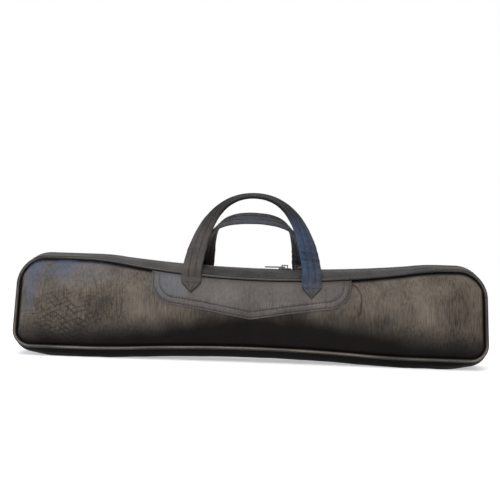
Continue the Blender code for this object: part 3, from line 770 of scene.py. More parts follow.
for label, side in halves:
    body = label + "_half"
    x, z = layerGrid(panelInset, panel["cornerColumns"], 0, panel["rows"], panel["zones"],
                     panel["evenly"], side > 0)
    off = panelFace(x, z, side)
    piece = addLayer(label + "Panel", x, z, side * off, side * (off - case["skin"]), panelLeather,
                     marks=panelMarks(x, z, side))
    fitPiece(piece, body, "leatherette", label + "_panel")
    x, z = layerGrid(panelInset + padding["inset"], padding["cornerColumns"], padding["columns"],
                     padding["rows"])
    first = panelFace(x, z, side) - case["skin"] - 2 * case["seam"]
    puff = padding["puff"] * ripples(x, z, 21 + side, 6, (0.02, 0.05))
    puff = puff * smoothStep(edgeDistance(x, z) / padding["puffFrom"])
    deep = first - case["foam"] + np.abs(puff)
    piece = addLayer(label + "Foam", x, z, side * first, side * deep, foamFinish)
    fitPiece(piece, body, "padding", label + "_foam")
    facing = deep - case["seam"]
    piece = addLayer(label + "Lining", x, z, side * facing, side * (facing - case["lining"]),
                     liningCloth, uv=np.stack([x, z], -1))
    fitPiece(piece, body, "lining", label + "_lining")
print("panels made")

# Yoke patches. A scuff is its middle, its half sizes and its strength
yoke = {"halfWidth": 0.0955, "corner": 0.023, "depth": 0.0265, "point": 0.0125, "power": 0.85,
        "tip": 0.003, "thickness": 0.0010, "rows": (0.0017, 0.0072), "groove": 0.00042,
        "grooveWidth": 0.0008, "edge": 0.0004, "edgeWidth": 0.0005, "topGap": 0.0008,
        "turnColumns": 22, "columns": 230, "levels": 62, "lift": 0.0001,
        # sewnDark is painted shade along the stitch rows, low and its fade a painted shade towards
        # the bottom, and the next keys a painted cool sheen patch
        "worn": 0.12, "sewnDark": 0.6, "sewnWidth": 0.0007,
        "low": 0.25, "lowFrom": 0.055, "lowFade": 0.02,
        "paintedSheen": 0.55, "sheenAt": -0.078, "sheenReach": 0.016, "sheenFrom": 0.058, "sheenFade": 0.01,
        "scuffs": ((0.0630, 0.0600, 0.009, 0.0016, 1.3), (0.0250, 0.0580, 0.016, 0.0030, 0.8))}
yokeStraight = yoke["halfWidth"] - yoke["corner"]


def yokeEdge(x):
    level = float(topLevel(np.array(case["waistShift"]))) - yoke["depth"]
    reach = np.minimum(np.sqrt(x * x + yoke["tip"] ** 2) / yokeStraight, 1.0)
    beyond = np.clip((np.abs(x) - yokeStraight) / yoke["corner"], 0.0, 1.0)
    level = level - yoke["point"] * (1 - reach ** yoke["power"])
    return level + yoke["corner"] * (1 - np.sqrt(1 - beyond ** 2))


# The yoke's sewn outline, drawn in by inset, from the left top round to the right top
def yokeLine(inset):
    end, radius = yoke["halfWidth"] - inset, yoke["corner"] - inset
    middle = np.linspace(-yokeStraight, yokeStraight, 161)
    level = yokeEdge(middle)
    slope = np.gradient(level, middle)
    size = np.hypot(1, slope)
    mx, mz = middle - slope / size * inset, level + inset / size
    turn = np.linspace(0, math.pi / 2, 25)
    centre = float(yokeEdge(np.array(yokeStraight))) + yoke["corner"]
    cx, cz = yokeStraight + radius * np.cos(turn), centre - radius * np.sin(turn)
    tops = upperEdge(np.array([-end, end]), panelInset) - yoke["topGap"]
    x = np.concatenate([[-end], -cx, mx, cx[::-1], [end]])
    z = np.concatenate([tops[:1], cz, mz, cz[::-1], tops[1:]])
    return x, z


def lineDistance(x, z, lx, lz):
    dense = walk(placed(lx, 0 * lx, lz), 0.0009)[0]
    near = np.full(x.size, 9.0)
    flatX, flatZ = x.ravel(), z.ravel()
    for start in range(0, x.size, 2000):
        part = slice(start, start + 2000)
        gap = (flatX[part, None] - dense[None, :, 0]) ** 2
        gap = gap + (flatZ[part, None] - dense[None, :, 2]) ** 2
        near[part] = np.sqrt(gap.min(1))
    return near.reshape(x.shape)


def yokeFace(x, z, side):
    return panelFace(x, z, side) + case["seam"] + yoke["thickness"]


# Outward direction on the crowned panels
def faceNormal(side):
    def at(points, e=0.0008):
        x, z = points[:, 0], points[:, 2]
        dx = (crownAt(x + e, z) - crownAt(x - e, z)) / (2 * e)
        dz = (crownAt(x, z + e) - crownAt(x, z - e)) / (2 * e)
        return unit(placed(-dx, np.full_like(dx, side), -dz))
    return at


for label, side in halves:
    lines = [yokeLine(inset) for inset in yoke["rows"]]
    turn = np.sin(math.pi / 2 * np.linspace(0, 1, yoke["turnColumns"]))[1:]
    turn = yokeStraight + yoke["corner"] * turn
    middle = np.linspace(-yokeStraight, yokeStraight, yoke["columns"])
    columns = np.concatenate([-turn[::-1], middle, turn])
    high, low = upperEdge(columns, panelInset), yokeEdge(columns)
    z = high[None, :] + (low - high)[None, :] * np.linspace(0, 1, yoke["levels"])[:, None]
    x = np.broadcast_to(columns, z.shape).copy()
    sewn = [lineDistance(x, z, *line) for line in lines]
    off = yokeFace(x, z, side)
    for near in sewn:
        off = off - yoke["groove"] * bell(near, yoke["grooveWidth"])
    off = off - yoke["edge"] * bell(lineDistance(x, z, *yokeLine(0.0)), yoke["edgeWidth"])
    under = panelFace(x, z, side) + yoke["lift"]
    # Painted shade towards the yoke's bottom
    shade = yoke["low"] * smoothStep((yoke["lowFrom"] - z) / yoke["lowFade"])
    paintedSheen = 0 * x
    if side < 0:
        streaks = smoothStep(0.4 + ripples(x, z * 0.1, 77, 6, (0.0016, 0.004), spread=0.2))
        for cx, cz, rx, rz, strength in yoke["scuffs"]:
            shade = shade - strength * bell(x - cx, rx, 4) * bell(z - cz, rz) * streaks
        # Painted cool sheen patch
        paintedSheen = yoke["paintedSheen"] * bell(x - yoke["sheenAt"], yoke["sheenReach"])
        paintedSheen = paintedSheen * smoothStep((z - yoke["sheenFrom"]) / yoke["sheenFade"])
    # The last mark is painted shade along the stitch rows
    marks = {"worn": yoke["worn"], "shade": shade, "paintedSheen": paintedSheen,
             "grooveShade": yoke["sewnDark"] * bell(np.minimum(*sewn), yoke["sewnWidth"])}
    piece = addLayer(label + "Yoke", x, z, side * off, side * under, yokeLeather, marks=marks)
    fitPiece(piece, label + "_half", "leatherette", label + "_yoke")
    rows = []
    for lx, lz in lines:
        flat = walk(placed(lx, 0 * lx, lz), 0.001)[0]
        off = yokeFace(flat[:, 0], flat[:, 2], side) - yoke["groove"] * 0.6
        rows.append(placed(flat[:, 0], side * off, flat[:, 2]))
    addStitches(label + "YokeStitches", rows, faceNormal(side), label + "_half")
print("yokes made")

piping = {"rings": 1500, "sides": 20, "knurl": 0.018, "knurlPitch": 0.0031,
          "jointAt": -0.007, "jointWidth": 0.0022, "jointSwell": 0.12,
          "press": 1.18,  # pressed against the panel's edge, so the seam is closed
          "highlight": 0.06, "highlightSide": 0.28, "highlightEnd": 0.25, "highlightBottom": 0.47}


def rimLoop(count):
    total = upperLength + lowerLength
    t = total * np.arange(count) / count
    upper = upperRim(np.minimum(t, upperLength))
    lower = lowerRim(np.clip(total - t, 0.0, lowerLength))
    return [t] + [np.where(t < upperLength, a, b) for a, b in zip(upper[:4], lower[:4])]


for label, side in halves:
    t, x, z, nx, nz = rimLoop(piping["rings"])
    knurl = np.sin(2 * math.pi * t / piping["knurlPitch"]) * (0.6 + 0.4 * np.sin(t * 61))
    joint = bell(x - piping["jointAt"], piping["jointWidth"]) * (z < 0.03)
    radius = case["pipe"] * (1 + piping["knurl"] * knurl) * (1 + piping["jointSwell"] * joint)
    turn = 2 * math.pi * np.arange(piping["sides"]) / piping["sides"]
    out, depth = np.cos(turn), np.sin(turn)
    out = np.where(out < 0, out * piping["press"], out)
    rings = placed(x[:, None] + nx[:, None] * radius[:, None] * out,
                   side * case["halfDepth"] + radius[:, None] * depth,
                   z[:, None] + nz[:, None] * radius[:, None] * out)
    # A painted pale highlight along the piping's ridge, strongest along the bottom; off it the
    # piping keeps its dark tone
    reach = piping["highlightSide"] + piping["highlightEnd"] * smoothStep((np.abs(x) - 0.205) / 0.01)
    reach = reach + piping["highlightBottom"] * smoothStep((0.032 - z) / 0.014)
    reach = reach * (0.75 + 0.25 * np.sin(t * 83) * np.sin(t * 29 + 1))
    highlight = bell(side * depth - 1, piping["highlight"])[None, :] * reach[:, None]
    piece = addTube(label + "Piping", rings, pipingLeather, closed=True, marks={"shade": 1 - highlight})
    fitPiece(piece, label + "_half", "piping", label + "_piping")
print("piping made")

# Gussets, zip tape and linings are strips along the rim
rimCloth = {"slotHalf": 0.0065, "hem": 0.0038, "hemRise": 0.00035, "hemStitch": 0.0086,
            "stitchDip": 0.00022, "stitchWidth": 0.0006, "wave": 0.00018,
            "tapeOuter": 0.0145, "tapeInner": 0.0016, "tapeThickness": 0.0006,
            "turnFrom": 0.018, "liningHalf": 0.017,
            # From here: a raised rib by the bottom piping with a painted highlight along it,
            # painted shade along the hem stitches, and painted shade on the bottom's underside,
            # paler towards its ends
            "bottomWave": 0.00016, "ribAt": 0.0042, "ribWidth": 0.0005, "ribRise": 0.0003,
            "ribFrom": 0.150, "ribFade": 0.04, "ribHighlight": 0.80, "sewnDark": 0.8,
            "endPale": 0.12, "endFrom": 0.002, "endFade": 0.020, "dark": 0.95,
            "topRings": 620, "topColumns": 26, "bottomRings": 420, "bottomColumns": 41}


# Places, normals and swell: t runs along the rim and across is the distance from its middle
def rimGrid(rim, t, across, flat, side=1):
    x, z, nx, nz, swell = rim(t)
    past = np.maximum((np.abs(across) - flat) / (gussetEdge - flat), 0.0)
    off = swell[:, None] * (1 - past ** case["swellPower"])[None, :]
    base = placed(x, 0 * x, z)[:, None, :] + placed(0 * across, side * across, 0 * across)[None]
    return base, placed(nx, 0 * nx, nz)[:, None, :], off


def addRimShell(name, base, normal, outerOff, innerOff, finish, **more):
    outer, inner = (base + normal * off[:, :, None] for off in (outerOff, innerOff))
    return addShell(name, outer, inner, finish, **more)


def rimNormal(points):
    into = np.clip(np.abs(points[:, 0]) - (case["halfLength"] - case["topCorner"]), 0, None)
    nx = np.sign(points[:, 0]) * into / case["topCorner"]
    return unit(placed(nx, 0 * nx, np.sqrt(np.maximum(1 - nx * nx, 0.0))))


for label, side in halves:
    body = label + "_half"
    t = np.linspace(case["seam"], upperLength - case["seam"], rimCloth["topRings"])
    across = np.linspace(gussetEdge, rimCloth["slotHalf"], rimCloth["topColumns"])
    run, lay = np.meshgrid(t, across, indexing="ij")
    base, normal, off = rimGrid(upperRim, t, across, case["topFlat"], side)
    hem = smoothStep((rimCloth["slotHalf"] + rimCloth["hem"] - across) / 0.0008)
    wave = rimCloth["wave"] * ripples(run, lay, 31 + side, 7, (0.012, 0.05), spread=0.5)
    calm = smoothStep((gussetEdge - across) / 0.004)
    calm = calm * smoothStep((across - rimCloth["slotHalf"]) / 0.003 + 0.2)
    stitched = bell(across - rimCloth["hemStitch"], rimCloth["stitchWidth"])
    skinOff = off + wave * calm + rimCloth["hemRise"] * hem - rimCloth["stitchDip"] * stitched
    # The last mark is painted shade along the hem stitch groove
    marks = {"worn": 0.10, "shade": 0.10, "paintedSheen": 0.0, "grooveShade": rimCloth["sewnDark"] * stitched}
    piece = addRimShell(label + "ZipGusset", base, normal, skinOff, off - case["skin"],
                        gussetLeather, marks=marks)
    fitPiece(piece, body, "leatherette", label + "_zip_gusset")
    line = np.argmin(np.abs(across - rimCloth["hemStitch"]))
    outer = base + normal * skinOff[:, :, None]
    addStitches(label + "HemStitches", [outer[4:-4, line]], rimNormal, body)
    across = np.linspace(rimCloth["tapeOuter"], rimCloth["tapeInner"], 8)
    base, normal, off = rimGrid(upperRim, t, across, case["topFlat"], side)
    off = off - case["skin"] - case["seam"]
    piece = addRimShell(label + "ZipTape", base, normal, off, off - rimCloth["tapeThickness"],
                        tapeCloth, uv=np.stack(np.meshgrid(t, across, indexing="ij"), -1))
    fitPiece(piece, body, "zip_tape", label + "_zip_tape")

t = np.linspace(case["seam"], lowerLength - case["seam"], rimCloth["bottomRings"])
across = np.sin(np.linspace(-1, 1, rimCloth["bottomColumns"]) * math.pi / 2) * gussetEdge
run, lay = np.meshgrid(t, across, indexing="ij")
base, normal, off = rimGrid(lowerRim, t, across, case["bottomFlat"])
toEdge = gussetEdge - np.abs(lay)
edge = smoothStep(toEdge / 0.005) * smoothStep((np.abs(lay) - case["bottomFlat"] + 0.001) / 0.003)
# A raised rib beside the piping, with a painted highlight along it
ribAndHighlight = bell(toEdge - rimCloth["ribAt"], rimCloth["ribWidth"])
ribAndHighlight = ribAndHighlight * smoothStep((np.abs(base[:, :, 0]) - rimCloth["ribFrom"]) / rimCloth["ribFade"])
wave = rimCloth["bottomWave"] * edge * ripples(run, lay, 41, 7, (0.012, 0.05), spread=0.5)
# Painted shade on the underside, paler towards its ends and along the rib's painted highlight
undersideShade = np.minimum(run, lowerLength - run) - rimCloth["endFrom"]
undersideShade = (rimCloth["dark"] - rimCloth["endPale"]) * smoothStep(undersideShade / rimCloth["endFade"])
undersideShade = (rimCloth["endPale"] + undersideShade) * (1 - rimCloth["ribHighlight"] * ribAndHighlight)
piece = addRimShell("bottomGusset", base, normal, off + wave + rimCloth["ribRise"] * ribAndHighlight,
                    off - case["skin"], gussetLeather,
                    marks={"worn": 0.15, "shade": undersideShade, "paintedSheen": 0.0})
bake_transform(piece)
fitPiece(piece, None, "leatherette", "bottom_gusset")
across = np.linspace(-rimCloth["liningHalf"], rimCloth["liningHalf"], 21)
base, normal, off = rimGrid(lowerRim, t, across, case["bottomFlat"])
off = off - case["skin"] - case["seam"]
piece = addRimShell("bottomLining", base, normal, off, off - case["lining"], liningCloth,
                    uv=np.stack(np.meshgrid(t, across, indexing="ij"), -1))
fitPiece(piece, "back_half", "lining", "bottom_lining")
print("gussets made")

# One moulded tooth, copied along each tape: plan gives its half width at each place
tooth = {"pitch": 0.00285, "first": 0.003, "top": 0.0011, "deep": 0.0012, "bevel": 0.0003,
         "bevelSize": (0.72, 0.94, 1),
         "plan": ((0.0036, 0.00072), (0.0022, 0.00072), (0.0012, 0.00050), (0.0004, 0.00098),
                  (-0.0003, 0.00083), (-0.0007, 0.00034))}


def pickPoints(model, test):
    bpy.ops.object.mode_set(mode="OBJECT")
    points = model.data.vertices
    for v in points:
        v.select = test(v.co)
    for e in model.data.edges:
        e.select = all(points[k].select for k in e.vertices)
    for f in model.data.polygons:
        f.select = all(points[k].select for k in f.vertices)
    bpy.ops.object.mode_set(mode="EDIT")


# Along X lies the chain, +Y goes into the tape, Z points out of the case
def toothModel():
    deep, top = -tooth["deep"], tooth["top"]
    (base, half), (tip, _) = tooth["plan"][0], tooth["plan"][-1]
    middle = (0.0, (base + tip) / 2, (deep + top) / 2)
    bpy.ops.object.select_all(action="DESELECT")
    bpy.ops.mesh.primitive_cube_add(size=1.0, location=middle,
                                    scale=(2 * half, base - tip, top - deep))
    model = bpy.context.active_object
    bpy.ops.object.transform_apply(location=True, rotation=True, scale=True)
    bpy.ops.object.mode_set(mode="EDIT")
    cuts = [((0, level, 0), (0, 1, 0)) for level, _ in tooth["plan"][1:-1]]
    for place, facing in cuts + [((0, 0, top - tooth["bevel"]), (0, 0, 1))]:
        bpy.ops.mesh.select_all(action="SELECT")
        bpy.ops.mesh.bisect(plane_co=place, plane_no=facing)
    for level, width in tooth["plan"]:
        pickPoints(model, lambda co: abs(co.y - level) < 1e-5)
        bpy.ops.transform.resize(value=(width / half, 1, 1), center_override=(0, 0, 0))
    pickPoints(model, lambda co: co.z > top - 1e-5)
    bpy.ops.transform.resize(value=tooth["bevelSize"], center_override=(0, middle[1], 0))
    bpy.ops.object.mode_set(mode="OBJECT")
    points = [tuple(v.co) for v in model.data.vertices]
    faces = [list(f.vertices) for f in model.data.polygons]
    bpy.data.objects.remove(model)
    return points, faces


toothPoints, toothFaces = toothModel()
for label, side in halves:
    count = int((upperLength - 2 * tooth["first"]) / tooth["pitch"])
    start = tooth["first"] + (0.0 if side < 0 else tooth["pitch"] / 2)
    points, faces = [], []
    for k in range(count):
        px, pz, nx, nz, swell = (float(v) for v in upperRim(start + k * tooth["pitch"]))
        along, out = np.array([nz, 0.0, -nx]), np.array([nx, 0.0, nz])
        spot = np.array([px, 0.0, pz]) + out * swell
        faces += [[v + len(points) for v in face] for face in toothFaces]
        points += [spot + along * a + np.array([0.0, side * y, 0.0]) + out * h
                   for a, y, h in toothPoints]
    piece = addPiece(label + "ZipTeeth", np.array(points), faces, teethFinish, sharp=30.0)
    fitPiece(piece, label + "_half", "zip_teeth", label + "_zip_teeth")
print("zip teeth made")

# Handles: one strap each, from sewn foot to sewn foot
strap = {"width": 0.019, "thickness": 0.0028, "edge": 0.0011, "stitchAt": 0.0032,
         "groove": 0.00030, "grooveWidth": 0.0004, "foot": 0.0076, "point": 0.0100,
         "footThickness": 0.0021, "footSteps": 9, "loopSteps": 56, "foldRise": 0.003,
         "foldOffset": 0.0004, "bendReach": 0.012, "footStitch": 0.0009, "footPitch": 0.0023,
         "crumple": 0.00035, "crumpleRight": (0.040, 0.011), "crumpleLeft": (0.045, 0.010, 0.3),
         # foldDark is painted shade in the crumple folds; the next keys give a painted cool sheen
         # on the front handle's right leg and the back handle's top, and a painted shade on the
         # front handle's top
         "folds": 950, "foldSlant": 130, "foldDark": 0.95, "sheenRight": (0.046, 0.036),
         "sheenFront": 0.95, "sheenBack": 0.40, "sheenTop": (0.30, 0.035), "sheenInner": 0.35,
         "topDark": 0.92, "topFrom": 0.075, "topFade": 0.045, "blend": (-0.005, 0.006),
         "rows": ((1, 12), (-1, 18))}  # side of the strap, and sections left out at each end
arches = {
    "front": {"foot": 0.0575, "arch": 0.0790, "rise": 0.0470, "draw": 0.0060, "shoulder": 0.034,
              "lean": 20.0, "twist": 58.0, "twistPower": 2.3},
    "back": {"foot": 0.0490, "arch": 0.0690, "rise": 0.045, "draw": 0.004, "shoulder": 0.042,
             "lean": 41.0, "twist": 80.0, "twistPower": 1.9},
}
strapBase = case["halfDepth"] + case["pipe"] + case["seam"]
foldDepth = strapBase + strap["thickness"] / 2 + strap["foldOffset"]
foldLevel = float(topLevel(np.array([-1, 1]) * arches["front"]["foot"]).max()) + strap["foldRise"]


def bezierAt(points, t):
    a, b, c, d = (np.array(p) for p in points)
    s = 1 - t
    place = a * s ** 3 + 3 * b * s * s * t + 3 * c * s * t * t + d * t ** 3
    return place, unit((b - a) * s * s + (c - b) * 2 * s * t + (d - c) * t * t)


# A section is its place, its wide and face directions, its share of the width, its thickness
def loopSections(side, arch, steps):
    half = [(-arch["foot"], 0), (arch["draw"] - arch["foot"], arch["rise"]),
            (-arch["shoulder"], arch["arch"]), (0, arch["arch"])]
    turn = np.array(Matrix.Rotation(math.radians(arch["lean"]) * side, 3, "X"))
    made = []
    for k in range(2 * steps + 1):
        t = min(k, 2 * steps - k) / steps
        place, along = bezierAt(half, t)
        out = np.array([-along[1], along[0]])
        if k > steps:
            place, out, along = place * (-1, 1), out * (-1, 1), along * (1, -1)
        twist = math.radians(arch["twist"]) * (1 - (1 - t) ** arch["twistPower"])
        flat = math.sin(twist)
        face = np.array([out[0] * flat, side * math.cos(twist), out[1] * flat])
        wide = np.cross([along[0], 0, along[1]], face)
        level = np.array([math.copysign(1, wide[0]), 0, 0])
        square = float(smoothStep(t / 0.30))
        wide = unit(level * (1 - square) + wide * square)
        spot = turn @ np.array([place[0], 0, place[1]]) + np.array([0, side * foldDepth, foldLevel])
        made.append([spot, turn @ wide, turn @ face, 1.0, strap["thickness"]])
    return made


def footOff(x, z, side):
    high = upperEdge(np.array(x), panelInset)
    onYoke = panelFace(np.array(x), np.minimum(z, high), side) + yoke["thickness"]
    return float(np.maximum(onYoke + 2 * case["seam"], strapBase))


def footLevel(centre):
    return float(topLevel(np.array(centre))) - strap["foot"]


def footSections(side, centre, wideSign, steps):
    sewn = footLevel(centre)
    tip = sewn - strap["point"]
    levels = np.concatenate([np.linspace(tip + 0.0002, sewn, 8),
                             np.linspace(sewn, foldLevel - 0.003, steps)[1:]])
    made = []
    for z in levels:
        share = min((z - tip) / strap["point"], 1.0)
        ease = float(smoothStep((z - sewn) / (foldLevel - sewn)))
        thick = strap["footThickness"] + (strap["thickness"] - strap["footThickness"]) * ease
        off = footOff(centre, z, side) + thick / 2
        off = off * (1 - ease) + foldDepth * ease if off < foldDepth else off
        spot = np.array([centre, side * off, z])
        made.append([spot, np.array([wideSign, 0, 0]), None, share, thick])
    rise = np.gradient(np.array([m[0] for m in made]), axis=0)
    for m, r in zip(made, rise):
        face = unit(np.cross(m[1] * -side * wideSign, r))
        m[2] = face if face[1] * side >= 0 else -face
    return made


# Across the strap: place, share of the thickness, and how far the stitch grooves dip
def strapOutline():
    w, edge = strap["width"] / 2, strap["edge"]
    spots = {-w + edge, w - edge, 0.0, -0.0062, 0.0062}
    spots |= {s * (strap["stitchAt"] + d) for s in (-1, 1) for d in (-0.0006, 0, 0.0006)}
    top = []
    for a in sorted(spots):
        dip = strap["groove"] * bell(abs(a) - strap["stitchAt"], strap["grooveWidth"])
        top.append((a, 0.5, -dip))
    right = [(w - edge * (1 - math.sin(q)), 0.5 * math.cos(q), 0.0) for q in (0.5, 1.05)]
    right = right + [(w, 0.0, 0.0)] + [(a, -b, c) for a, b, c in right[::-1]]
    left = [(-a, -b, c) for a, b, c in right]
    return np.array(top + right + [(a, -b, -c) for a, b, c in top[::-1]] + left)


outline = strapOutline()
for label, side in halves:
    arch = arches[label]
    left = footSections(side, -arch["foot"], -side, strap["footSteps"])
    right = footSections(side, arch["foot"], side, strap["footSteps"])
    sections = left + loopSections(side, arch, strap["loopSteps"]) + right[::-1]
    spots, wides, faces, share, thick = (np.array([s[k] for s in sections]) for k in range(5))
    for _ in range(3):  # eases the bend where the foot becomes the loop
        near = (np.abs(spots[1:-1, 2] - foldLevel) < strap["bendReach"])[:, None]
        for line in (spots, faces):
            ease = (line[:-2] + 2 * line[1:-1] + line[2:]) / 4
            line[1:-1] = np.where(near, ease, line[1:-1])
    wides = unit(wides - faces * np.einsum("ij,ij->i", wides, faces)[:, None])
    faces = unit(faces)
    run = np.concatenate([[0], np.cumsum(np.linalg.norm(np.diff(spots, axis=0), axis=1))])
    toEnd, fromTop = run[-1] - run, np.abs(run - run[-1] / 2)
    acrossX = outline[None, :, 0]
    uneven = 1 + 0.012 * np.sin(run * 190) + 0.010 * np.sin(run * 431 + 1)
    (at, reach), (leftAt, leftReach, leftShare) = strap["crumpleRight"], strap["crumpleLeft"]
    crumple = bell(toEnd - at, reach) + leftShare * bell(run - leftAt, leftReach)
    slant = run[:, None] * strap["folds"] + acrossX * strap["foldSlant"]
    w = acrossX * (share * uneven)[:, None]
    h = outline[None, :, 1] * thick[:, None] + outline[None, :, 2]
    h = h + strap["crumple"] * crumple[:, None] * np.sin(slant) * (1 + 0.5 * np.sin(acrossX * 500))
    rings = spots[:, None, :] + wides[:, None, :] * w[:, :, None]
    rings = rings + faces[:, None, :] * h[:, :, None]
    # Painted cool sheen on the front handle's right leg and on the back handle's top
    at, reach = strap["sheenRight"]
    paintedSheen = bell(toEnd - at, reach, 4) * strap["sheenFront" if side < 0 else "sheenBack"]
    share, reach = strap["sheenTop"]
    paintedSheen = np.maximum(paintedSheen, share * bell(fromTop, reach) * (side > 0))
    outward = np.clip(0.5 + acrossX / strap["width"], 0, 1)
    paintedSheen = paintedSheen[:, None] * (strap["sheenInner"] + (1 - strap["sheenInner"]) * outward)
    crumpled = np.clip(crumple, 0, 1)
    # Painted shade on the front handle's top
    topShade = strap["topDark"] * smoothStep((strap["topFrom"] - fromTop) / strap["topFade"])
    # The last mark is painted shade in the crumple folds
    marks = {"worn": 0.25 + 0.75 * crumpled, "paintedSheen": paintedSheen, "shade": topShade * (side < 0),
             "grooveShade": strap["foldDark"] * crumpled[:, None] * np.abs(np.sin(slant / 2)) ** 3}
    piece = addTube(label + "Handle", rings, strapLeather, marks=marks, sharp=55.0)
    fitPiece(piece, None, "strap", label + "_handle", label + "_foot_left", label + "_foot_right")
    half, grip = label + "_half", label + "_grip"
    start, end = ((0, side * foldDepth, foldLevel + rise) for rise in strap["blend"])
    rows = []
    for offset in (-strap["stitchAt"], strap["stitchAt"]):
        for faceSign, skip in strap["rows"]:
            lift = (faceSign * (thick / 2 - 0.00005))[:, None]
            keep = slice(skip, len(spots) - skip)
            rows.append(((spots + wides * offset + faces * lift)[keep], faces[keep] * faceSign))
    rowSpots, rowNormals = (np.concatenate([row[k] for row in rows]) for k in (0, 1))

    def strapNormal(points, spots=rowSpots, normals=rowNormals):
        return np.array([normals[np.argmin(((spots - p) ** 2).sum(1))] for p in points])

    stitches = addStitches(label + "HandleStitches", [row[0] for row in rows], strapNormal, grip)
    stitches.parent = None
    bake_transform(piece)
    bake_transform(stitches)

    def onFoot(centre, points, side=side):
        lift = strap["footThickness"] + 0.0001
        return np.array([(a, side * (footOff(centre, b, side) + lift), b) for a, b in points])

    lines = []
    w = strap["width"] / 2 - strap["footStitch"]
    for centre in (-arch["foot"], arch["foot"]):
        sewn = footLevel(centre)
        across = np.linspace(centre - w - 0.0006, centre + w + 0.0006, 14)
        lines.append(onFoot(centre, [(a, sewn) for a in across]))
        for s in (-1, 1):
            lines.append(onFoot(centre, [
                (centre + s * w * (1 - q * 0.96),
                 sewn - strap["footStitch"] - (strap["point"] - 0.0026) * q)
                for q in np.linspace(0, 1, 12)]))
    addStitches(label + "FootStitches", lines, faceNormal(side), half, pitch=strap["footPitch"])
print("handles made")

# Tabs over the lower ends of the zip
endTab = {"half": 0.006, "width": 0.017, "thickness": 0.0010, "lift": 0.0008, "rows": 25,
          "columns": 19, "pitch": 0.0022,
          # depth, distance from the edge and width of its rounding and its stitch line
          "soft": ((0.0004, 0.0, 0.0006), (0.0002, 0.0013, 0.0005))}
for label, direction in (("left", -1), ("right", 1)):
    runs = np.linspace(-endTab["half"], endTab["half"], endTab["rows"])
    across = np.linspace(-0.5, 0.5, endTab["columns"]) * endTab["width"]
    spots = [upperRim(t) if t >= 0 else lowerRim(-t) for t in runs]
    px, pz, nx, nz = (np.array([float(spot[k]) for spot in spots])[:, None] for k in range(4))
    rim = np.minimum(endTab["half"] - np.abs(runs)[:, None],
                     endTab["width"] / 2 - np.abs(across)[None, :])
    soft = sum(depth * bell(rim - at, width) for depth, at, width in endTab["soft"])
    low = case["endSwell"] + endTab["lift"]
    outer, inner = (placed(-direction * (px + nx * off), across + 0 * off, pz + nz * off)
                    for off in (low + endTab["thickness"] - soft, low + 0 * soft))
    piece = addShell(label + "EndTab", outer, inner, gussetLeather,
                     marks={"worn": 0.1, "shade": 0.1, "paintedSheen": 0.0})
    fitPiece(piece, "back_half", "leatherette", "zip_end_tab_" + label)
    box = [outer[2:-2, 2], outer[2:-2, -3], outer[2, 2:-2], outer[-3, 2:-2]]

    def tabNormal(points, direction=direction):
        return np.tile([float(direction), 0.0, 0.0], (len(points), 1))

    addStitches(label + "TabStitches", box, tabNormal, "back_half", pitch=endTab["pitch"])

for name in ("zip_slider_left", "zip_slider_right", "zip_pull_left", "zip_pull_right"):
    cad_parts[name].data.materials.clear()
    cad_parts[name].data.materials.append(metalFinish)
print("tabs and sliders finished")

studio = {"floorSize": 12.0, "floorTone": 0.80, "floorLift": 0.45, "white": (0.35, 0.85),
          "air": 0.22, "aim": (0.0, 0.0, 0.06)}
lamps = {
    "windowSoft": {"at": (-0.15, -1.25, 0.75), "size": (0.50, 0.75), "watts": 16.0,
                   "colour": (1.0, 0.95, 0.90)},
    "topSoft": {"at": (0.0, 0.15, 1.6), "size": (1.4, 1.0), "watts": 9.0,
                "colour": (1.0, 0.98, 0.96)},
    "coolSide": {"at": (-1.1, -0.6, 0.55), "size": (0.5, 0.5), "watts": 5.0,
                 "colour": (0.62, 0.78, 1.0)},
}


# 1 where the floor and the air are seen, also in metal, and 0 where they only light
def seenShare(tree):
    path = addNode(tree, "ShaderNodeLightPath").outputs
    seen = mathNode(tree, "ADD", path["Is Camera Ray"], path["Is Glossy Ray"])
    seen = mathNode(tree, "ADD", seen, path["Is Transmission Ray"])
    seen.node.use_clamp = True
    return seen


def addFloor():
    bpy.ops.object.select_all(action="DESELECT")
    bpy.ops.mesh.primitive_plane_add(size=studio["floorSize"])
    floor = bpy.context.active_object
    floor.name = "studioFloor"
    floor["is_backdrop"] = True
    finish, tree, shader = newFinish("paleFloor")
    shader.inputs["Base Color"].default_value = (*[studio["floorTone"]] * 3, 1.0)
    shader.inputs["Roughness"].default_value = 0.9
    shader.inputs["Specular IOR Level"].default_value = 0.0
    coords = addNode(tree, "ShaderNodeTexCoord").outputs["Object"]
    away = addNode(tree, "ShaderNodeVectorMath", {0: coords}, operation="LENGTH").outputs["Value"]
    away = remap(tree, away, *studio["white"])
    seen = seenShare(tree)
    lift = mathNode(tree, "MULTIPLY", seen, studio["floorLift"])
    white, lift = (addNode(tree, "ShaderNodeEmission", {"Color": (1.0, 1.0, 1.0), "Strength": glow})
                   for glow in (1.0, lift))
    near = addNode(tree, "ShaderNodeAddShader", {0: shader.outputs[0], 1: lift.outputs[0]})
    both = addNode(tree, "ShaderNodeMixShader", {
        0: mathNode(tree, "MULTIPLY", away, seen), 1: near.outputs[0], 2: white.outputs[0]})
    tree.links.new(both.outputs[0], tree.nodes["Material Output"].inputs["Surface"])
    floor.data.materials.append(finish)


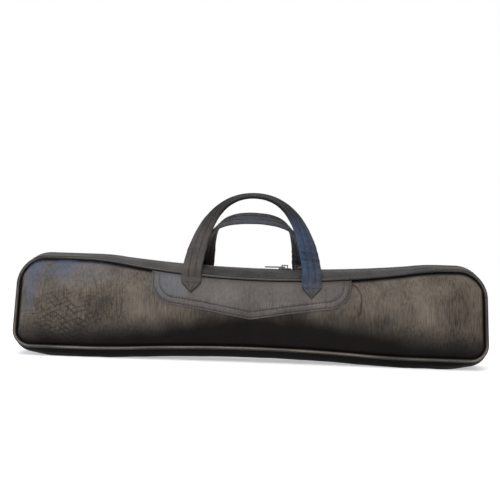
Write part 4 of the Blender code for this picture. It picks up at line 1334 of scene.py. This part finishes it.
def addLight():
    world = bpy.data.worlds.new("studioAir")
    bpy.context.scene.world = world
    world.use_nodes = True
    tree = world.node_tree
    back = tree.nodes["Background"]
    air = remap(tree, seenShare(tree), 0.0, 1.0, studio["air"], 1.0)
    tree.links.new(air, back.inputs["Strength"])
    back.inputs["Color"].default_value = (1.0, 1.0, 1.0, 1.0)
    for name, lamp in lamps.items():
        data = bpy.data.lights.new(name, "AREA")
        data.shape = "RECTANGLE"
        data.size, data.size_y = lamp["size"]
        data.energy = lamp["watts"]
        data.color = lamp["colour"]
        light = bpy.data.objects.new(name, data)
        light.location = lamp["at"]
        aim = Vector(studio["aim"]) - light.location
        light.rotation_euler = aim.to_track_quat("-Z", "Y").to_euler()
        bpy.context.scene.collection.objects.link(light)
    sun = bpy.data.lights.new("roomLight", "SUN")
    sun.energy, sun.angle = 1.0, math.radians(60)
    light = bpy.data.objects.new("roomLight", sun)
    light.rotation_euler = (math.radians(18), math.radians(8), 0)
    bpy.context.scene.collection.objects.link(light)
    bpy.context.scene.view_settings.view_transform = "Standard"


# Found from the outline of the piping in the photograph
shot = {"distance": 1.1, "azimuth": 1.26, "elevation": 1.08, "roll": 1.89,
        "aim": (-0.0031, 0.0, 0.1086), "pixels": 1124.1, "sensor": 36.0, "frame": 500}


def aimCamera():
    a, e, r = (math.radians(shot[k]) for k in ("azimuth", "elevation", "roll"))
    back = Vector((math.sin(a) * math.cos(e), -math.cos(a) * math.cos(e), math.sin(e)))
    data = bpy.data.cameras.new("photoCamera")
    data.sensor_width = shot["sensor"]
    data.lens = shot["sensor"] * shot["pixels"] / shot["frame"]
    camera = bpy.data.objects.new("photoCamera", data)
    right = (-back).cross(Vector((0, 0, 1))).normalized()
    up = right.cross(-back)
    turnedRight = right * math.cos(r) + up * math.sin(r)
    turnedUp = up * math.cos(r) - right * math.sin(r)
    pose = Matrix((turnedRight, turnedUp, back)).transposed().to_4x4()
    pose.translation = Vector(shot["aim"]) + back * shot["distance"]
    camera.matrix_world = pose
    bpy.context.scene.collection.objects.link(camera)
    bpy.context.scene.camera = camera


addFloor()
addLight()
aimCamera()
low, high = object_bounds()
print("scene ready")
